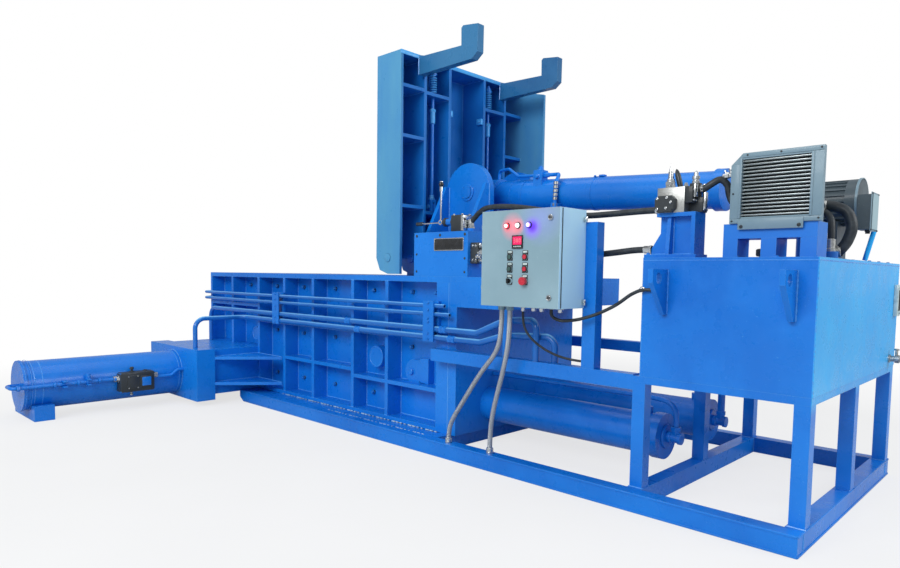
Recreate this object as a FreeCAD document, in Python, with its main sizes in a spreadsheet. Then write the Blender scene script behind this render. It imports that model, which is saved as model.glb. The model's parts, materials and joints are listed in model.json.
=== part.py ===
import FreeCAD, Part
import math
import os

import Sketcher

# Recycling baler: a metal press with a hinged lid, a main ram and a side ram.
# Millimetres. The origin is at the middle of the pump-end sill's underside:
# X runs along the machine (the press is at minus X), Y across it, Z up.

SIZES = {
    # skid
    "rail_width": 80, "rail_height": 100, "skid_half": 880, "skid_step": 3, "rail_slope": 60,
    # stand under the tank
    "leg_width": 70, "stand_front": 785, "stand_rear": 855, "stand_left": 805, "mid_leg_y": 10,
    "rim_top": 684, "rim_height": 37, "side_rail_top": 690, "side_rail_height": 80, "packing_length": 90,
    # oil tank
    "tank_left": 769, "tank_right": 43, "tank_top": 1293, "tank_wall": 8, "tank_cover": 14,
    "lug_thick": 24, "lug_depth": 160, "lug_foot": 30, "lug_high": 1235, "lug_low": 1010, "lug_eye": 28,
    "lug_left_x": 644, "lug_right_x": 52,
    "gauge_y": 779, "gauge_width": 70, "gauge_low": 985, "gauge_high": 1168, "gauge_depth": 26,
    "filler_x": 650, "filler_y": 640, "filler_radius": 62, "filler_height": 95,
    "drain_y": 700, "drain_z": 735, "drain_radius": 24, "drain_length": 70,
    # press box
    "box_left": 5653, "box_right": 2216, "box_bottom": 100, "box_top": 1178, "floor_thick": 50,
    "bore_half": 515, "wall_thick": 40, "rib_reach": 692, "rib_thick": 34, "flange_thick": 40,
    "rib_b_inset": 435, "post_left": 2347, "tunnel_top": 490, "end_wall_thick": 40,
    "stay_thick": 28, "stay_high": 862, "stay_mid": 727, "stay_low": 420, "stay_right": 372,
    "foot_flange": 30, "boss_inset": 175, "boss_z": 550, "boss_radius": 83, "boss_depth": 70,
    "far_boss_inset": 137, "far_boss_z": 600, "far_boss_radius": 65,
    "ear_inset": 153, "ear_width": 131, "ear_low": 400, "ear_high": 585, "ear_depth": 60,
    "lid_opening_left": 4310, "ram_home": 3000, "cover_thick": 50,
    "liner_thick": 15, "liner_top": 1100, "bolt_radius": 15, "bolt_height": 14,
    "bolt_row_high": 1060, "bolt_row_mid": 650, "bolt_row_low": 250,
    "deck_thick": 40, "beam_right": 1740, "beam_bottom": 975, "beam_plate": 30, "end_plate_thick": 60,
    # main rams
    "main_cylinder_y": 320, "main_cylinder_z": 280, "main_cylinder_radius": 120, "main_bore": 92,
    "cylinder_nose": 74, "main_cylinder_right": 845, "cap_thick": 50, "cap_lip": 12,
    "main_rod_radius": 62, "piston_thick": 60,
    "ram_back_gap": 224, "ram_plate": 60, "ram_skin": 30, "slide_gap": 0.3, "rod_fit": 0.3,
    # side press
    "side_inset": 480, "side_z": 262, "tunnel_half": 450, "tunnel_wall": 40, "tunnel_bottom": 90,
    "tunnel_mouth": 1138, "flange_front": 1305, "side_flange_half": 490, "side_flange_low": 45,
    "side_flange_top": 500,
    "side_radius": 195, "side_bore": 150, "side_end": 2542, "side_cap": 60, "side_rod_radius": 75,
    "side_ram_back": 1000, "gusset_thick": 26, "gusset_high": 405, "gusset_low": 175,
    "gusset_reach": 415,
    "saddle_reach": 357, "saddle_width": 572, "saddle_top": 120, "saddle_front": 2483, "saddle_back": 2340,
    "side_valve_front": 1858, "side_valve_back": 1579,
    # discharge gate at the back
    "gate_thick": 50, "gate_high": 445, "gate_low": 151,
    "guide_width": 45, "guide_depth": 80, "guide_top": 860, "gate_cylinder_radius": 50, "gate_bore": 36,
    "gate_rod_radius": 22, "gate_cap": 15, "gate_piston": 25, "gate_beam": 30,
    "gate_head_low": 745, "gate_cylinder_y": 625,
    # lid, standing open
    "hinge_x": 2865, "hinge_z": 1308, "lid_seat": 129.7, "lid_depth": 260, "lid_plate": 30, "lid_front": 692,
    "lid_rear": 720, "lid_bottom": 1190, "lid_top": 2785, "lid_rib": 24,
    "lid_rib_b": 458, "lid_rib_c": 198, "lid_rib_d": 203, "lid_rib_e": 464,
    "cheek_reach": 236, "cheek_low": 1914, "cheek_drop": 83,
    "horn_thick": 60, "horn_reach": 572, "horn_rise": 104, "horn_foot": 143,
    "hinge_pin_radius": 32, "hinge_fit": 0.1, "hinge_block_width": 110, "hinge_block_length": 150,
    "hinge_gap": 2, "notch_gap": 4, "shelf_high": 252, "shelf_mid": 607, "shelf_low": 367, "shelf_foot": 92,
    "spring_x": 2790, "spring_y": 320, "spring_radius": 27, "spring_wire": 4.5, "spring_pitch": 17,
    "spring_turns": 8, "spring_rod_radius": 13, "spring_rod_lift": 120, "spring_drop": 265,
    "spring_foot": 332, "clevis_half": 26, "clevis_height": 90,
    # lid cylinder
    "trunnion_x": 2431, "trunnion_z": 1790, "eye_x": 2660, "eye_z": 1801, "eye_radius": 75, "eye_width": 96,
    "lid_cylinder_length": 1765, "lid_cylinder_radius": 110, "lid_bore": 80, "lid_rod_radius": 45,
    "lid_head": 60, "lid_head_radius": 124, "lid_pipe_radius": 11, "lid_hose_radius": 13,
    "lid_end_cap": 50, "trunnion_radius": 42, "eye_pin_radius": 32,
    "lug_plate": 36, "lug_gap": 0.5, "lug_radius": 80,
    "pedestal_inner": 255, "pedestal_thick": 50, "pedestal_radius": 211, "pedestal_gusset": 30,
    "gusset_foot": 535, "gusset_shoulder": 1460, "gusset_tip": 1842, "gusset_tip_y": 339,
    # valve housing on the deck
    "housing_left": 2578, "housing_right": 2066, "housing_back": 540, "housing_top": 1480, "housing_wall": 10,
    "plate_left": 2376, "plate_right": 2100, "plate_low": 1352, "plate_high": 1437, "plate_thick": 3,
    "lever_x": 2370, "lever_y": 620, "lever_z": 1550, "lever_radius": 6.5, "lever_reach": 212,
    "grip_length": 68, "grip_radius": 11, "lever_hub": 18, "lever_pin": 8, "lever_half": 10,
    "lever_thick": 15, "hose_port_x": 2105, "port_z": 1335, "port_half": 65,
    "port_length": 60, "hand_valve_inset": 40, "hand_valve_width": 100, "hand_valve_half": 45,
    # pipes along the front
    "pipe_y": 740, "upper_pipe_radius": 14, "lower_pipe_radius": 20, "pipe_bore": 0.7,
    "pipe_a_z": 978, "pipe_b_z": 921, "pipe_c_z": 820, "pipe_d_z": 762, "clamp_width": 100, "clamp_plate": 10,
    "clamp_step": 4, "clamp_low": 735, "clamp_high": 1010,
    "pipe_c_inset": 93, "pipe_turn": 1930, "pipe_climb": 1700, "pipe_level": 1560, "pipe_c_drop": 1440,
    "pipe_d_drop": 1340, "pipe_c_rise": 110, "pipe_d_rise": 75,
    # control cabinet
    "cabinet_left": 1646, "cabinet_right": 1112, "cabinet_low": 1020, "cabinet_high": 1552,
    "cabinet_front": 1030, "cabinet_wall": 4, "door_thick": 22, "door_gap": 2, "door_sheet": 3,
    "door_hinge_offset": 6, "knuckle_radius": 5.7, "lock_radius": 13, "lock_x": 1170, "lock_high": 1500,
    "lock_low": 1078, "post_right_x": 1040, "post_right_width": 81, "post_right_top": 1487,
    "post_left_x": 1680, "post_left_width": 45, "post_left_depth": 22, "cross_bar": 40,
    "cross_bar_low": 1100, "cross_bar_high": 1440,
    "lamp_x": 1386, "lamp_step": 75, "lamp_z": 1466, "lamp_radius": 14, "lamp_height": 16,
    "meter_z": 1376, "meter_side": 72, "meter_depth": 8,
    "button_left": 1438, "button_right": 1333, "button_top_z": 1295, "button_mid_z": 1229, "switch_z": 1163,
    "collar_radius": 19, "collar_height": 6, "button_radius": 12, "button_height": 11,
    "button_fit": 0.3, "knob_radius": 14, "knob_height": 20, "stop_radius": 22, "stop_height": 18,
    "stop_stem": 9, "stop_travel": 5, "gland_height": 28, "gland_y": 895,
    # manifold on its pedestal
    "manifold_left": 756, "manifold_right": 612, "manifold_front": 680, "manifold_back": 560,
    "manifold_low": 1524, "manifold_high": 1650, "stand_plate": 20, "stand_flare": 72,
    "stand_reach": 40, "stand_toe": 50, "valve_plate": 106, "valve_plate_high": 84, "valve_plate_thick": 30,
    "valve_corner": 16, "valve_step": 50, "valve_reach": 72, "valve_rise": 20,
    # cooler
    "cooler_left": 404, "cooler_right": 0, "cooler_front": 630, "cooler_back": 470, "cooler_low": 1458,
    "cooler_high": 1790, "cooler_frame": 30, "cooler_side": 52, "cooler_flange": 26, "fin_thick": 6,
    "fin_count": 16, "stand_beam": 72, "stand_column": 70,
    "fan_radius": 120, "fan_hub": 34, "fan_depth": 34, "fan_shaft": 12,
    # motor and pump
    "pump_gap": 66, "motor_length": 325, "motor_y": 110, "motor_z": 1600, "motor_radius": 112,
    "motor_fin": 10, "motor_fins": 24, "bell_length": 120, "bell_radius": 95, "pump_length": 150,
    "pump_radius": 62, "terminal_gap": 42, "terminal_y": 20, "terminal_side": 120,
    "terminal_low": 1450, "terminal_high": 1626, "terminal_depth": 70,
    "boost_x": 170, "boost_y": 190, "boost_radius": 58, "boost_top": 1600, "boost_block": 90,
    "port_x": 52, "port_y": 256, "inlet_x": 110,
    # hoses and cables
    "hose_radius": 17, "suction_radius": 26, "conduit_radius": 15, "cable_radius": 7,
}


class Size:
    """A length that carries its value and the sheet formula that gives it."""

    def __init__(self, value, formula):
        self.value = float(value)
        self.formula = formula

    def joined(self, other, sign, value):
        text = other.formula if isinstance(other, Size) else repr(other)
        return Size(value, f"({self.formula} {sign} {text})")

    def __add__(self, other):
        return self.joined(other, "+", self.value + number(other))

    def __sub__(self, other):
        return self.joined(other, "-", self.value - number(other))

    def __radd__(self, other):
        return self + other

    def __rsub__(self, other):
        return -self + other

    def __mul__(self, other):
        return self.joined(other, "*", self.value * number(other))

    def __rmul__(self, other):
        return self * other

    def __truediv__(self, other):
        return self.joined(other, "/", self.value / number(other))

    def __neg__(self):
        return Size(-self.value, f"(0 - {self.formula})")


def number(length):
    """The plain value of a Size or a number."""
    return length.value if isinstance(length, Size) else float(length)


class Sheet:
    """The driving dimensions, read by name."""


doc = FreeCAD.newDocument("baler")
sheet = doc.addObject("Spreadsheet::Sheet", "Dims")
s = Sheet()
for row, (alias, size) in enumerate(SIZES.items(), start=1):
    sheet.set(f"A{row}", alias)
    sheet.set(f"B{row}", str(size))
    sheet.setAlias(f"B{row}", alias)
    setattr(s, alias, Size(size, f"Dims.{alias}"))
doc.recompute()

# Places that follow from the sizes above.
s.side_x = s.box_left - s.side_inset
s.rib_b = s.box_left - s.rib_b_inset
s.rib_c = s.side_x - s.tunnel_half
RIB_SPACING = (0.82529, 0.64898, 0.43279, 0.26845)
s.rib_d, s.rib_e, s.rib_f, s.rib_g = (s.box_right + (s.rib_c - s.box_right) * share for share in RIB_SPACING)
s.skid_length = s.rib_c - s.skid_step
s.spring_rib_z = s.lid_top - s.spring_drop
s.spring_foot_z = s.hinge_z + s.spring_foot
s.spring_rod_low = s.spring_foot_z + s.spring_rod_lift

ALONG = {
    "x": FreeCAD.Rotation(FreeCAD.Vector(0, 1, 0), 90),
    "y": FreeCAD.Rotation(FreeCAD.Vector(1, 0, 0), -90),
    "z": FreeCAD.Rotation(),
}
SKETCH_TURN = {
    "x": FreeCAD.Rotation(FreeCAD.Vector(1, 1, 1), 120),
    "y": FreeCAD.Rotation(FreeCAD.Vector(1, 0, 0), 90),
    "z": FreeCAD.Rotation(),
}
AXES = {"x": FreeCAD.Vector(1, 0, 0), "y": FreeCAD.Vector(0, 1, 0), "z": FreeCAD.Vector(0, 0, 1)}
nodes = []


def bind(item, **lengths):
    """Tie an object's lengths to the sheet."""
    for name, length in lengths.items():
        if isinstance(length, Size):
            item.setExpression(name, length.formula)
        else:
            setattr(item, name, length)


def place(item, x, y, z, turn=None):
    """Put an object at a point given by sizes."""
    corner = FreeCAD.Vector(number(x), number(y), number(z))
    item.Placement = FreeCAD.Placement(corner, turn or FreeCAD.Rotation())
    for axis, length in zip("xyz", (x, y, z)):
        if isinstance(length, Size):
            item.setExpression(f"Placement.Base.{axis}", length.formula)
    return item


def box(x0, x1, y0, y1, z0, z1):
    """A block between two corners."""
    item = doc.addObject("Part::Box", "block")
    bind(item, Length=x1 - x0, Width=y1 - y0, Height=z1 - z0)
    return place(item, x0, y0, z0)


def point_on(axis, start, across):
    """The point at start along an axis, with the other two coordinates in order."""
    first, second = across
    return {"x": (start, first, second), "y": (first, start, second), "z": (first, second, start)}[axis]


def rod(axis, across, radius, start, end):
    """A round bar along an axis."""
    item = doc.addObject("Part::Cylinder", "round")
    bind(item, Radius=radius, Height=end - start)
    return place(item, *point_on(axis, start, across), ALONG[axis])


def outline(axis, corners, start, end):
    """A plate cut to an outline and laid square to an axis."""
    sketch = doc.addObject("Sketcher::SketchObject", "outline")
    count = len(corners)
    spots = [FreeCAD.Vector(number(a), number(b), 0) for a, b in corners]
    for index in range(count):
        sketch.addGeometry(Part.LineSegment(spots[index], spots[(index + 1) % count]), False)
    for index in range(count):
        sketch.addConstraint(Sketcher.Constraint("Coincident", index, 2, (index + 1) % count, 1))
    for index, corner in enumerate(corners):
        for kind, length in zip(("DistanceX", "DistanceY"), corner):
            slot = sketch.addConstraint(Sketcher.Constraint(kind, -1, 1, index, 1, number(length)))
            if isinstance(length, Size):
                sketch.setExpression(f"Constraints[{slot}]", length.formula)
    sketch.Placement = FreeCAD.Placement(FreeCAD.Vector(), SKETCH_TURN[axis])
    item = doc.addObject("Part::Extrusion", "plate")
    item.Base = sketch
    item.DirMode = "Custom"
    item.Dir = AXES[axis]
    item.Solid = True
    bind(item, LengthFwd=end - start)
    return place(item, *point_on(axis, start, (0, 0)))


def fuse(*parts):
    """Welded or cast as one solid."""
    item = doc.addObject("Part::MultiFuse", "joined")
    item.Shapes = list(parts)
    return item


def cut(base, *tools):
    """A solid with holes or pockets."""
    item = doc.addObject("Part::Cut", "holed")
    item.Base = base
    item.Tool = tools[0] if len(tools) == 1 else fuse(*tools)
    return item


def fixed(shape):
    """A solid whose shape is worked out here, such as a bent tube."""
    item = doc.addObject("Part::Feature", "formed")
    item.Shape = shape
    return item


def node(label, *parts):
    """A named sub-part."""
    item = doc.addObject("Part::Compound", label)
    item.Links = list(parts)
    item.Label = label
    nodes.append(item)
    return item


def mirrored(y):
    """A position on both sides of the middle plane."""
    return (-y, y)


def vector(x, y, z):
    return FreeCAD.Vector(number(x), number(y), number(z))


def bent_path(points, bend=None):
    """Straight runs joined by tangent arcs. Without a bend radius each arc is as large as its runs allow."""
    corners = [vector(*point) for point in points]
    edges = []
    radii = []
    start = corners[0]
    for before, corner, after in zip(corners, corners[1:], corners[2:]):
        run_in = corner - before
        run_out = after - corner
        half_turn = run_in.getAngle(run_out) / 2
        shorter = min(run_in.Length, run_out.Length)
        widest = 0.45 * shorter / math.tan(half_turn)
        radius = widest if bend is None else min(number(bend), widest)
        setback = radius * math.tan(half_turn)
        run_in.normalize()
        run_out.normalize()
        enter = corner - run_in * setback
        leave = corner + run_out * setback
        inward = run_out - run_in
        inward.normalize()
        centre = corner + inward * (radius / math.cos(half_turn))
        middle = centre - inward * radius
        edges.append(Part.LineSegment(start, enter).toShape())
        edges.append(Part.Arc(enter, middle, leave).toShape())
        radii.append(round(radius))
        start = leave
    edges.append(Part.LineSegment(start, corners[-1]).toShape())
    return Part.Wire(edges), radii


def tube(name, points, radius, bend=None, bore=0):
    """A pipe, hose or cable along its route."""
    path, radii = bent_path(points, bend)
    start = vector(*points[0])
    along = vector(*points[1]) - start
    walls = []
    for share in (1, number(bore)) if bore else (1,):
        ring = Part.Wire(Part.Circle(start, along, number(radius) * share).toShape())
        walls.append(path.makePipeShell([ring], True, False))
    share = walls[0].Volume / (math.pi * number(radius) ** 2 * path.Length)
    print(f"{name}: length {path.Length:.0f}, radii {radii}, volume share {share:.3f}")
    return fixed(walls[0].cut(walls[1]) if bore else walls[0])


def arc_through(start, end, control):
    """The arc that leaves start towards control and reaches end from it."""
    chord_middle = (start + end) * 0.5
    half_chord = (end - start).Length / 2
    reach = (control - start).Length
    half_angle = math.acos(half_chord / reach)
    radius = half_chord / math.sin(half_angle)
    outward = control - chord_middle
    outward.normalize()
    middle = chord_middle + outward * (radius * (1 - math.cos(half_angle)))
    return Part.Arc(start, middle, end).toShape()


def coil(name, centre_x, centre_y, low, radius, wire, pitch, turns):
    """A coil spring: one wire on quarter-turn biarcs round an upright axis."""
    climb = number(pitch) / (2 * math.pi)
    coil_radius = number(radius)
    middle = vector(centre_x, centre_y, low)

    def at(angle):
        place_on = FreeCAD.Vector(coil_radius * math.cos(angle), coil_radius * math.sin(angle), climb * angle)
        heading = FreeCAD.Vector(-coil_radius * math.sin(angle), coil_radius * math.cos(angle), climb)
        heading.normalize()
        return middle + place_on, heading

    edges = []
    quarter = math.pi / 2
    for step in range(int(number(turns)) * 4):
        start, leaving = at(step * quarter)
        end, arriving = at((step + 1) * quarter)
        span = end - start
        both = leaving + arriving
        spread = 2 * (1 - leaving.dot(arriving))
        reach = (-span.dot(both) + math.sqrt(span.dot(both) ** 2 + spread * span.dot(span))) / spread
        first = start + leaving * reach
        second = end - arriving * reach
        joint = (first + second) * 0.5
        edges.append(arc_through(start, joint, first))
        edges.append(arc_through(joint, end, second))
    path = Part.Wire(edges)
    start, leaving = at(0)
    ring = Part.Wire(Part.Circle(start, leaving, number(wire)).toShape())
    shape = path.makePipeShell([ring], True, False)
    gap = number(pitch) * math.cos(math.atan(climb / coil_radius)) - 2 * number(wire)
    print(f"{name}: least gap between turns {gap:.2f}, volume {shape.Volume:.0f}")
    return fixed(shape)


# ---------------------------------------------------------------- skid
def skid():
    half_rail = s.rail_width / 2
    inner = s.skid_half - s.rail_width
    parts = [
        outline("y", [(-s.skid_length + s.rail_slope, 0), (half_rail, 0), (half_rail, s.rail_height),
                      (-s.skid_length, s.rail_height), (-s.skid_length, s.rail_height - s.rail_slope)],
                start, start + s.rail_width)
        for start in (-s.skid_half, inner)
    ]
    for station in (0, s.stand_left - s.leg_width / 2, s.box_right + half_rail, s.rib_f, s.rib_d):
        parts.append(box(-half_rail - station, half_rail - station, -inner, inner, 0, s.rail_height))
    node("skid_frame", *parts)


# ---------------------------------------------------------------- tank stand
def stand():
    leg = s.leg_width
    right = s.rail_width / 2
    rows = (-s.stand_front, s.mid_leg_y - leg / 2, s.stand_rear - leg)
    columns = (-s.stand_left, right - leg)
    rim_low = s.rim_top - s.rim_height
    parts = []
    for x in columns:
        for y in rows:
            parts.append(box(x, x + leg, y, y + leg, s.rail_height, rim_low))
        parts.append(box(x, x + leg, -s.stand_front, s.stand_rear, rim_low, s.rim_top))
    for y in rows:
        parts.append(box(leg - s.stand_left, right - leg, y, y + leg, rim_low, s.rim_top))
    rail_low = s.side_rail_top - s.side_rail_height
    rail_end = -s.box_right - s.packing_length
    for y in (-s.stand_front, s.stand_rear - leg):
        parts.append(box(rail_end, -s.stand_left, y, y + leg, rail_low, s.side_rail_top))
    near = s.stand_front - leg
    parts.append(box(rail_end, -s.box_right, -near, -s.rib_reach, rail_low, s.side_rail_top))
    far = s.stand_rear - leg
    parts.append(box(rail_end, -s.box_right, s.rib_reach, far, rail_low, s.side_rail_top))
    node("stand_frame", *parts)


# ---------------------------------------------------------------- oil tank
def tank():
    wall = s.tank_wall
    cover_low = s.tank_top - s.tank_cover
    outer = box(-s.tank_left, s.tank_right, -s.stand_front, s.stand_rear, s.rim_top, cover_low)
    inner = box(wall - s.tank_left, s.tank_right - wall, wall - s.stand_front, s.stand_rear - wall,
                s.rim_top + wall, cover_low + wall)
    parts = [cut(outer, inner)]
    front = -s.stand_front
    for middle in (-s.lug_left_x, -s.lug_right_x):
        lug = outline("x", [(front, s.lug_low), (front, s.lug_high), (front - s.lug_depth, s.lug_high),
                            (front - s.lug_depth, s.lug_high - s.lug_eye * 2.4),
                             (front - s.lug_foot, s.lug_low)],
                      middle - s.lug_thick / 2, middle + s.lug_thick / 2)
        hole = rod("x", (front - s.lug_depth * 0.62, s.lug_high - s.lug_eye * 1.6), s.lug_eye,
                   middle - s.lug_thick, middle + s.lug_thick)
        parts.append(cut(lug, hole))
    node("tank_shell", *parts)
    node("tank_cover", box(-s.tank_left, s.tank_right, -s.stand_front, s.stand_rear, cover_low, s.tank_top))

    gauge = box(s.tank_right, s.tank_right + s.gauge_depth, s.gauge_y - s.gauge_width / 2,
                s.gauge_y + s.gauge_width / 2, s.gauge_low, s.gauge_high)
    filler_at = (-s.filler_x, s.filler_y)
    neck = rod("z", filler_at, s.filler_radius * 0.7, s.tank_top, s.tank_top + s.filler_height / 2)
    cap = rod("z", filler_at, s.filler_radius, s.tank_top + s.filler_height / 2, s.tank_top + s.filler_height)
    drain_at = (s.drain_y, s.drain_z)
    stub = rod("x", drain_at, s.drain_radius * 0.7, s.tank_right, s.tank_right + s.drain_length * 0.6)
    drain_end = s.tank_right + s.drain_length
    plug = rod("x", drain_at, s.drain_radius, drain_end - s.drain_length * 0.4, drain_end)
    node("tank_fittings", gauge, fuse(neck, cap), fuse(stub, plug))


# ---------------------------------------------------------------- press box
RIBS = (s.box_left, s.rib_b, s.rib_c, s.rib_d, s.rib_e, s.rib_f, s.rib_g)


def wall_side(side, rib_low_left):
    """Wall plate, ribs and stays of one side: side is -1 at the front and 1 at the back."""

    def span(inner, outer):
        return (inner, outer) if side > 0 else (-outer, -inner)

    plate_out = s.bore_half + s.wall_thick
    plate = span(s.bore_half, plate_out)
    rib = span(plate_out, s.rib_reach)
    parts = [
        box(-s.box_left, -s.rib_c, *plate, s.tunnel_top, s.box_top),
        box(-s.rib_c, -s.box_right, *plate, s.box_bottom, s.box_top),
        box(-s.box_left, -s.box_right, *rib, s.box_top - s.flange_thick, s.box_top),
        box(-s.rib_c, -s.post_left, *rib, s.box_bottom, s.box_bottom + s.foot_flange),
        box(-s.post_left, -s.box_right, *rib, s.box_bottom, s.box_top - s.flange_thick),
    ]
    rib_top = s.box_top - s.flange_thick
    stays = {0: (s.stay_high,), 1: (s.stay_high,), 2: (s.stay_mid,), 3: (s.stay_mid, s.stay_low),
             4: (s.stay_mid, s.stay_low), 5: (s.stay_mid, s.stay_right), 6: (s.stay_right,)}
    rights = [-station for station in RIBS[1:]] + [-s.post_left]
    for bay, (station, right) in enumerate(zip(RIBS, rights)):
        low = rib_low_left if bay < 2 else s.box_bottom + s.foot_flange
        if side < 0 or bay != 1:
            parts.append(box(-station, s.rib_thick - station, *rib, low, rib_top))
        for height in stays[bay]:
            if side < 0 or bay > 1:
                parts.append(box(s.rib_thick - station, right, *rib, height, height + s.stay_thick))
    return parts


def press_box():
    plate_out = s.bore_half + s.wall_thick
    front = wall_side(-1, s.tunnel_top)
    boss_at = (-s.rib_g - s.boss_inset, s.boss_z)
    far_boss_at = (-s.rib_c - s.far_boss_inset, s.far_boss_z)
    front.append(rod("y", boss_at, s.boss_radius, -plate_out - s.boss_depth, -plate_out))
    front.append(rod("y", far_boss_at, s.far_boss_radius, -plate_out - s.boss_depth, -plate_out))
    ear_middle = (s.ear_low + s.ear_high) / 2
    ear_right = -s.post_left - s.ear_inset
    ear_left = ear_right - s.ear_width
    front.append(outline("y", [(ear_right, s.ear_low), (ear_right, s.ear_high),
                               (ear_left + 50, s.ear_high - 6), (ear_left + 14, s.ear_high - 42),
                               (ear_left, ear_middle),
                               (ear_left + 14, s.ear_low + 42), (ear_left + 50, s.ear_low + 6)],
                         -plate_out - s.ear_depth, -plate_out))
    node("front_wall", *front)
    node("rear_wall", *wall_side(1, s.guide_top))

    floor_top = s.box_bottom + s.floor_thick
    node("box_floor", box(-s.rib_c, -s.box_right, -s.bore_half, s.bore_half, s.box_bottom, floor_top))
    node("box_end_wall", box(-s.box_left, s.end_wall_thick - s.box_left, -s.bore_half, s.bore_half,
                             s.tunnel_top, s.box_top))
    node("chamber_cover", box(s.end_wall_thick - s.box_left, -s.lid_opening_left, -s.bore_half, s.bore_half,
                              s.box_top - s.cover_thick, s.box_top))

    left = -s.ram_home
    beam = -s.beam_right
    plate = s.beam_plate
    face = -s.box_right
    hole = s.main_cylinder_radius
    end_plate = cut(box(face, face + s.end_plate_thick, -s.rib_reach, s.rib_reach, s.box_bottom,
                        s.beam_bottom),
                    *[rod("x", (y, s.main_cylinder_z), hole, face - 10, face + s.end_plate_thick + 10)
                      for y in mirrored(s.main_cylinder_y)])
    node("ram_deck",
         box(left, face, -s.bore_half, s.bore_half, s.box_top - s.deck_thick, s.box_top),
         box(face, beam, -s.rib_reach, s.rib_reach, s.box_top - plate, s.box_top),
         box(face, beam, -s.rib_reach, plate - s.rib_reach, s.beam_bottom, s.box_top - plate),
         box(face, beam, s.rib_reach - plate, s.rib_reach, s.beam_bottom, s.box_top - plate),
         box(beam - plate, beam, plate - s.rib_reach, s.rib_reach - plate, s.beam_bottom, s.box_top - plate),
         box(face, face + plate, plate - s.rib_reach, s.rib_reach - plate, s.beam_bottom, s.box_top - plate),
         end_plate)

    parts = []
    for side in (-1, 1):
        inner = s.bore_half - s.liner_thick
        low, high = (inner, s.bore_half) if side > 0 else (-s.bore_half, -inner)
        parts.append(box(-s.rib_c, -s.box_right, low, high, floor_top, s.liner_top))
        parts.append(box(s.end_wall_thick - s.box_left, -s.rib_c, low, high, s.tunnel_top, s.liner_top))
    rows = {1: (s.bolt_row_high,), 2: (s.bolt_row_high, s.bolt_row_mid, s.bolt_row_low),
            3: (s.bolt_row_high, s.bolt_row_mid, s.bolt_row_low), 4: (s.bolt_row_high, s.bolt_row_mid,
            s.bolt_row_low), 5: (s.bolt_row_high, s.bolt_row_low), 6: (s.bolt_row_high, s.bolt_row_mid)}
    rights = [-station for station in RIBS[1:]] + [-s.post_left]
    for bay, heights in rows.items():
        start = s.rib_thick - RIBS[bay]
        for share in (0.25, 0.75):
            x = start + (rights[bay] - start) * share
            for z in heights:
                parts.append(rod("y", (x, z), s.bolt_radius, -plate_out - s.bolt_height, -plate_out))
    node("wear_liners", *parts)


# ---------------------------------------------------------------- main press
def main_press():
    floor_top = s.box_bottom + s.floor_thick
    gap = s.slide_gap
    parts = []
    rods = []
    cap = s.cap_thick
    left = -s.box_right - s.cylinder_nose
    right = -s.main_cylinder_right
    back = -s.box_right - s.ram_back_gap
    for y in mirrored(s.main_cylinder_y):
        at = (y, s.main_cylinder_z)
        barrel = fuse(rod("x", at, s.main_cylinder_radius, left, right),
                      rod("x", at, s.main_cylinder_radius + s.cap_lip, right - cap, right + s.cap_lip))
        bore = rod("x", at, s.main_bore, left + cap, right - cap)
        gland = rod("x", at, s.main_rod_radius + s.rod_fit, left - 10, left + cap)
        port = rod("z", (right - cap * 2, y), s.upper_pipe_radius * 1.7,
                   s.main_cylinder_z + s.main_cylinder_radius - 6,
                   s.main_cylinder_z + s.main_cylinder_radius + 40)
        ring = rod("x", at, s.main_cylinder_radius * 0.55, right + s.cap_lip, right + s.cap_lip * 2)
        parts.append(cut(fuse(barrel, port, ring), bore, gland))
        shaft = rod("x", at, s.main_rod_radius, back, right - cap - 10)
        piston = rod("x", at, s.main_bore - s.rod_fit, right - cap - s.piston_thick - 10, right - cap - 10)
        rods.append(fuse(shaft, piston))
    node("main_cylinders", *parts)
    node("main_ram_rods", *rods)

    half = s.bore_half - s.liner_thick - gap
    low = floor_top + gap
    high = s.box_top - s.deck_thick - gap
    face = -s.ram_home
    body = box(face, back, -half, half, low, high)
    cavity = box(face + s.ram_plate, back - s.ram_plate, s.ram_skin - half, half - s.ram_skin,
                 low + s.ram_skin, high - s.ram_skin)
    node("main_ram", cut(body, cavity))


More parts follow.
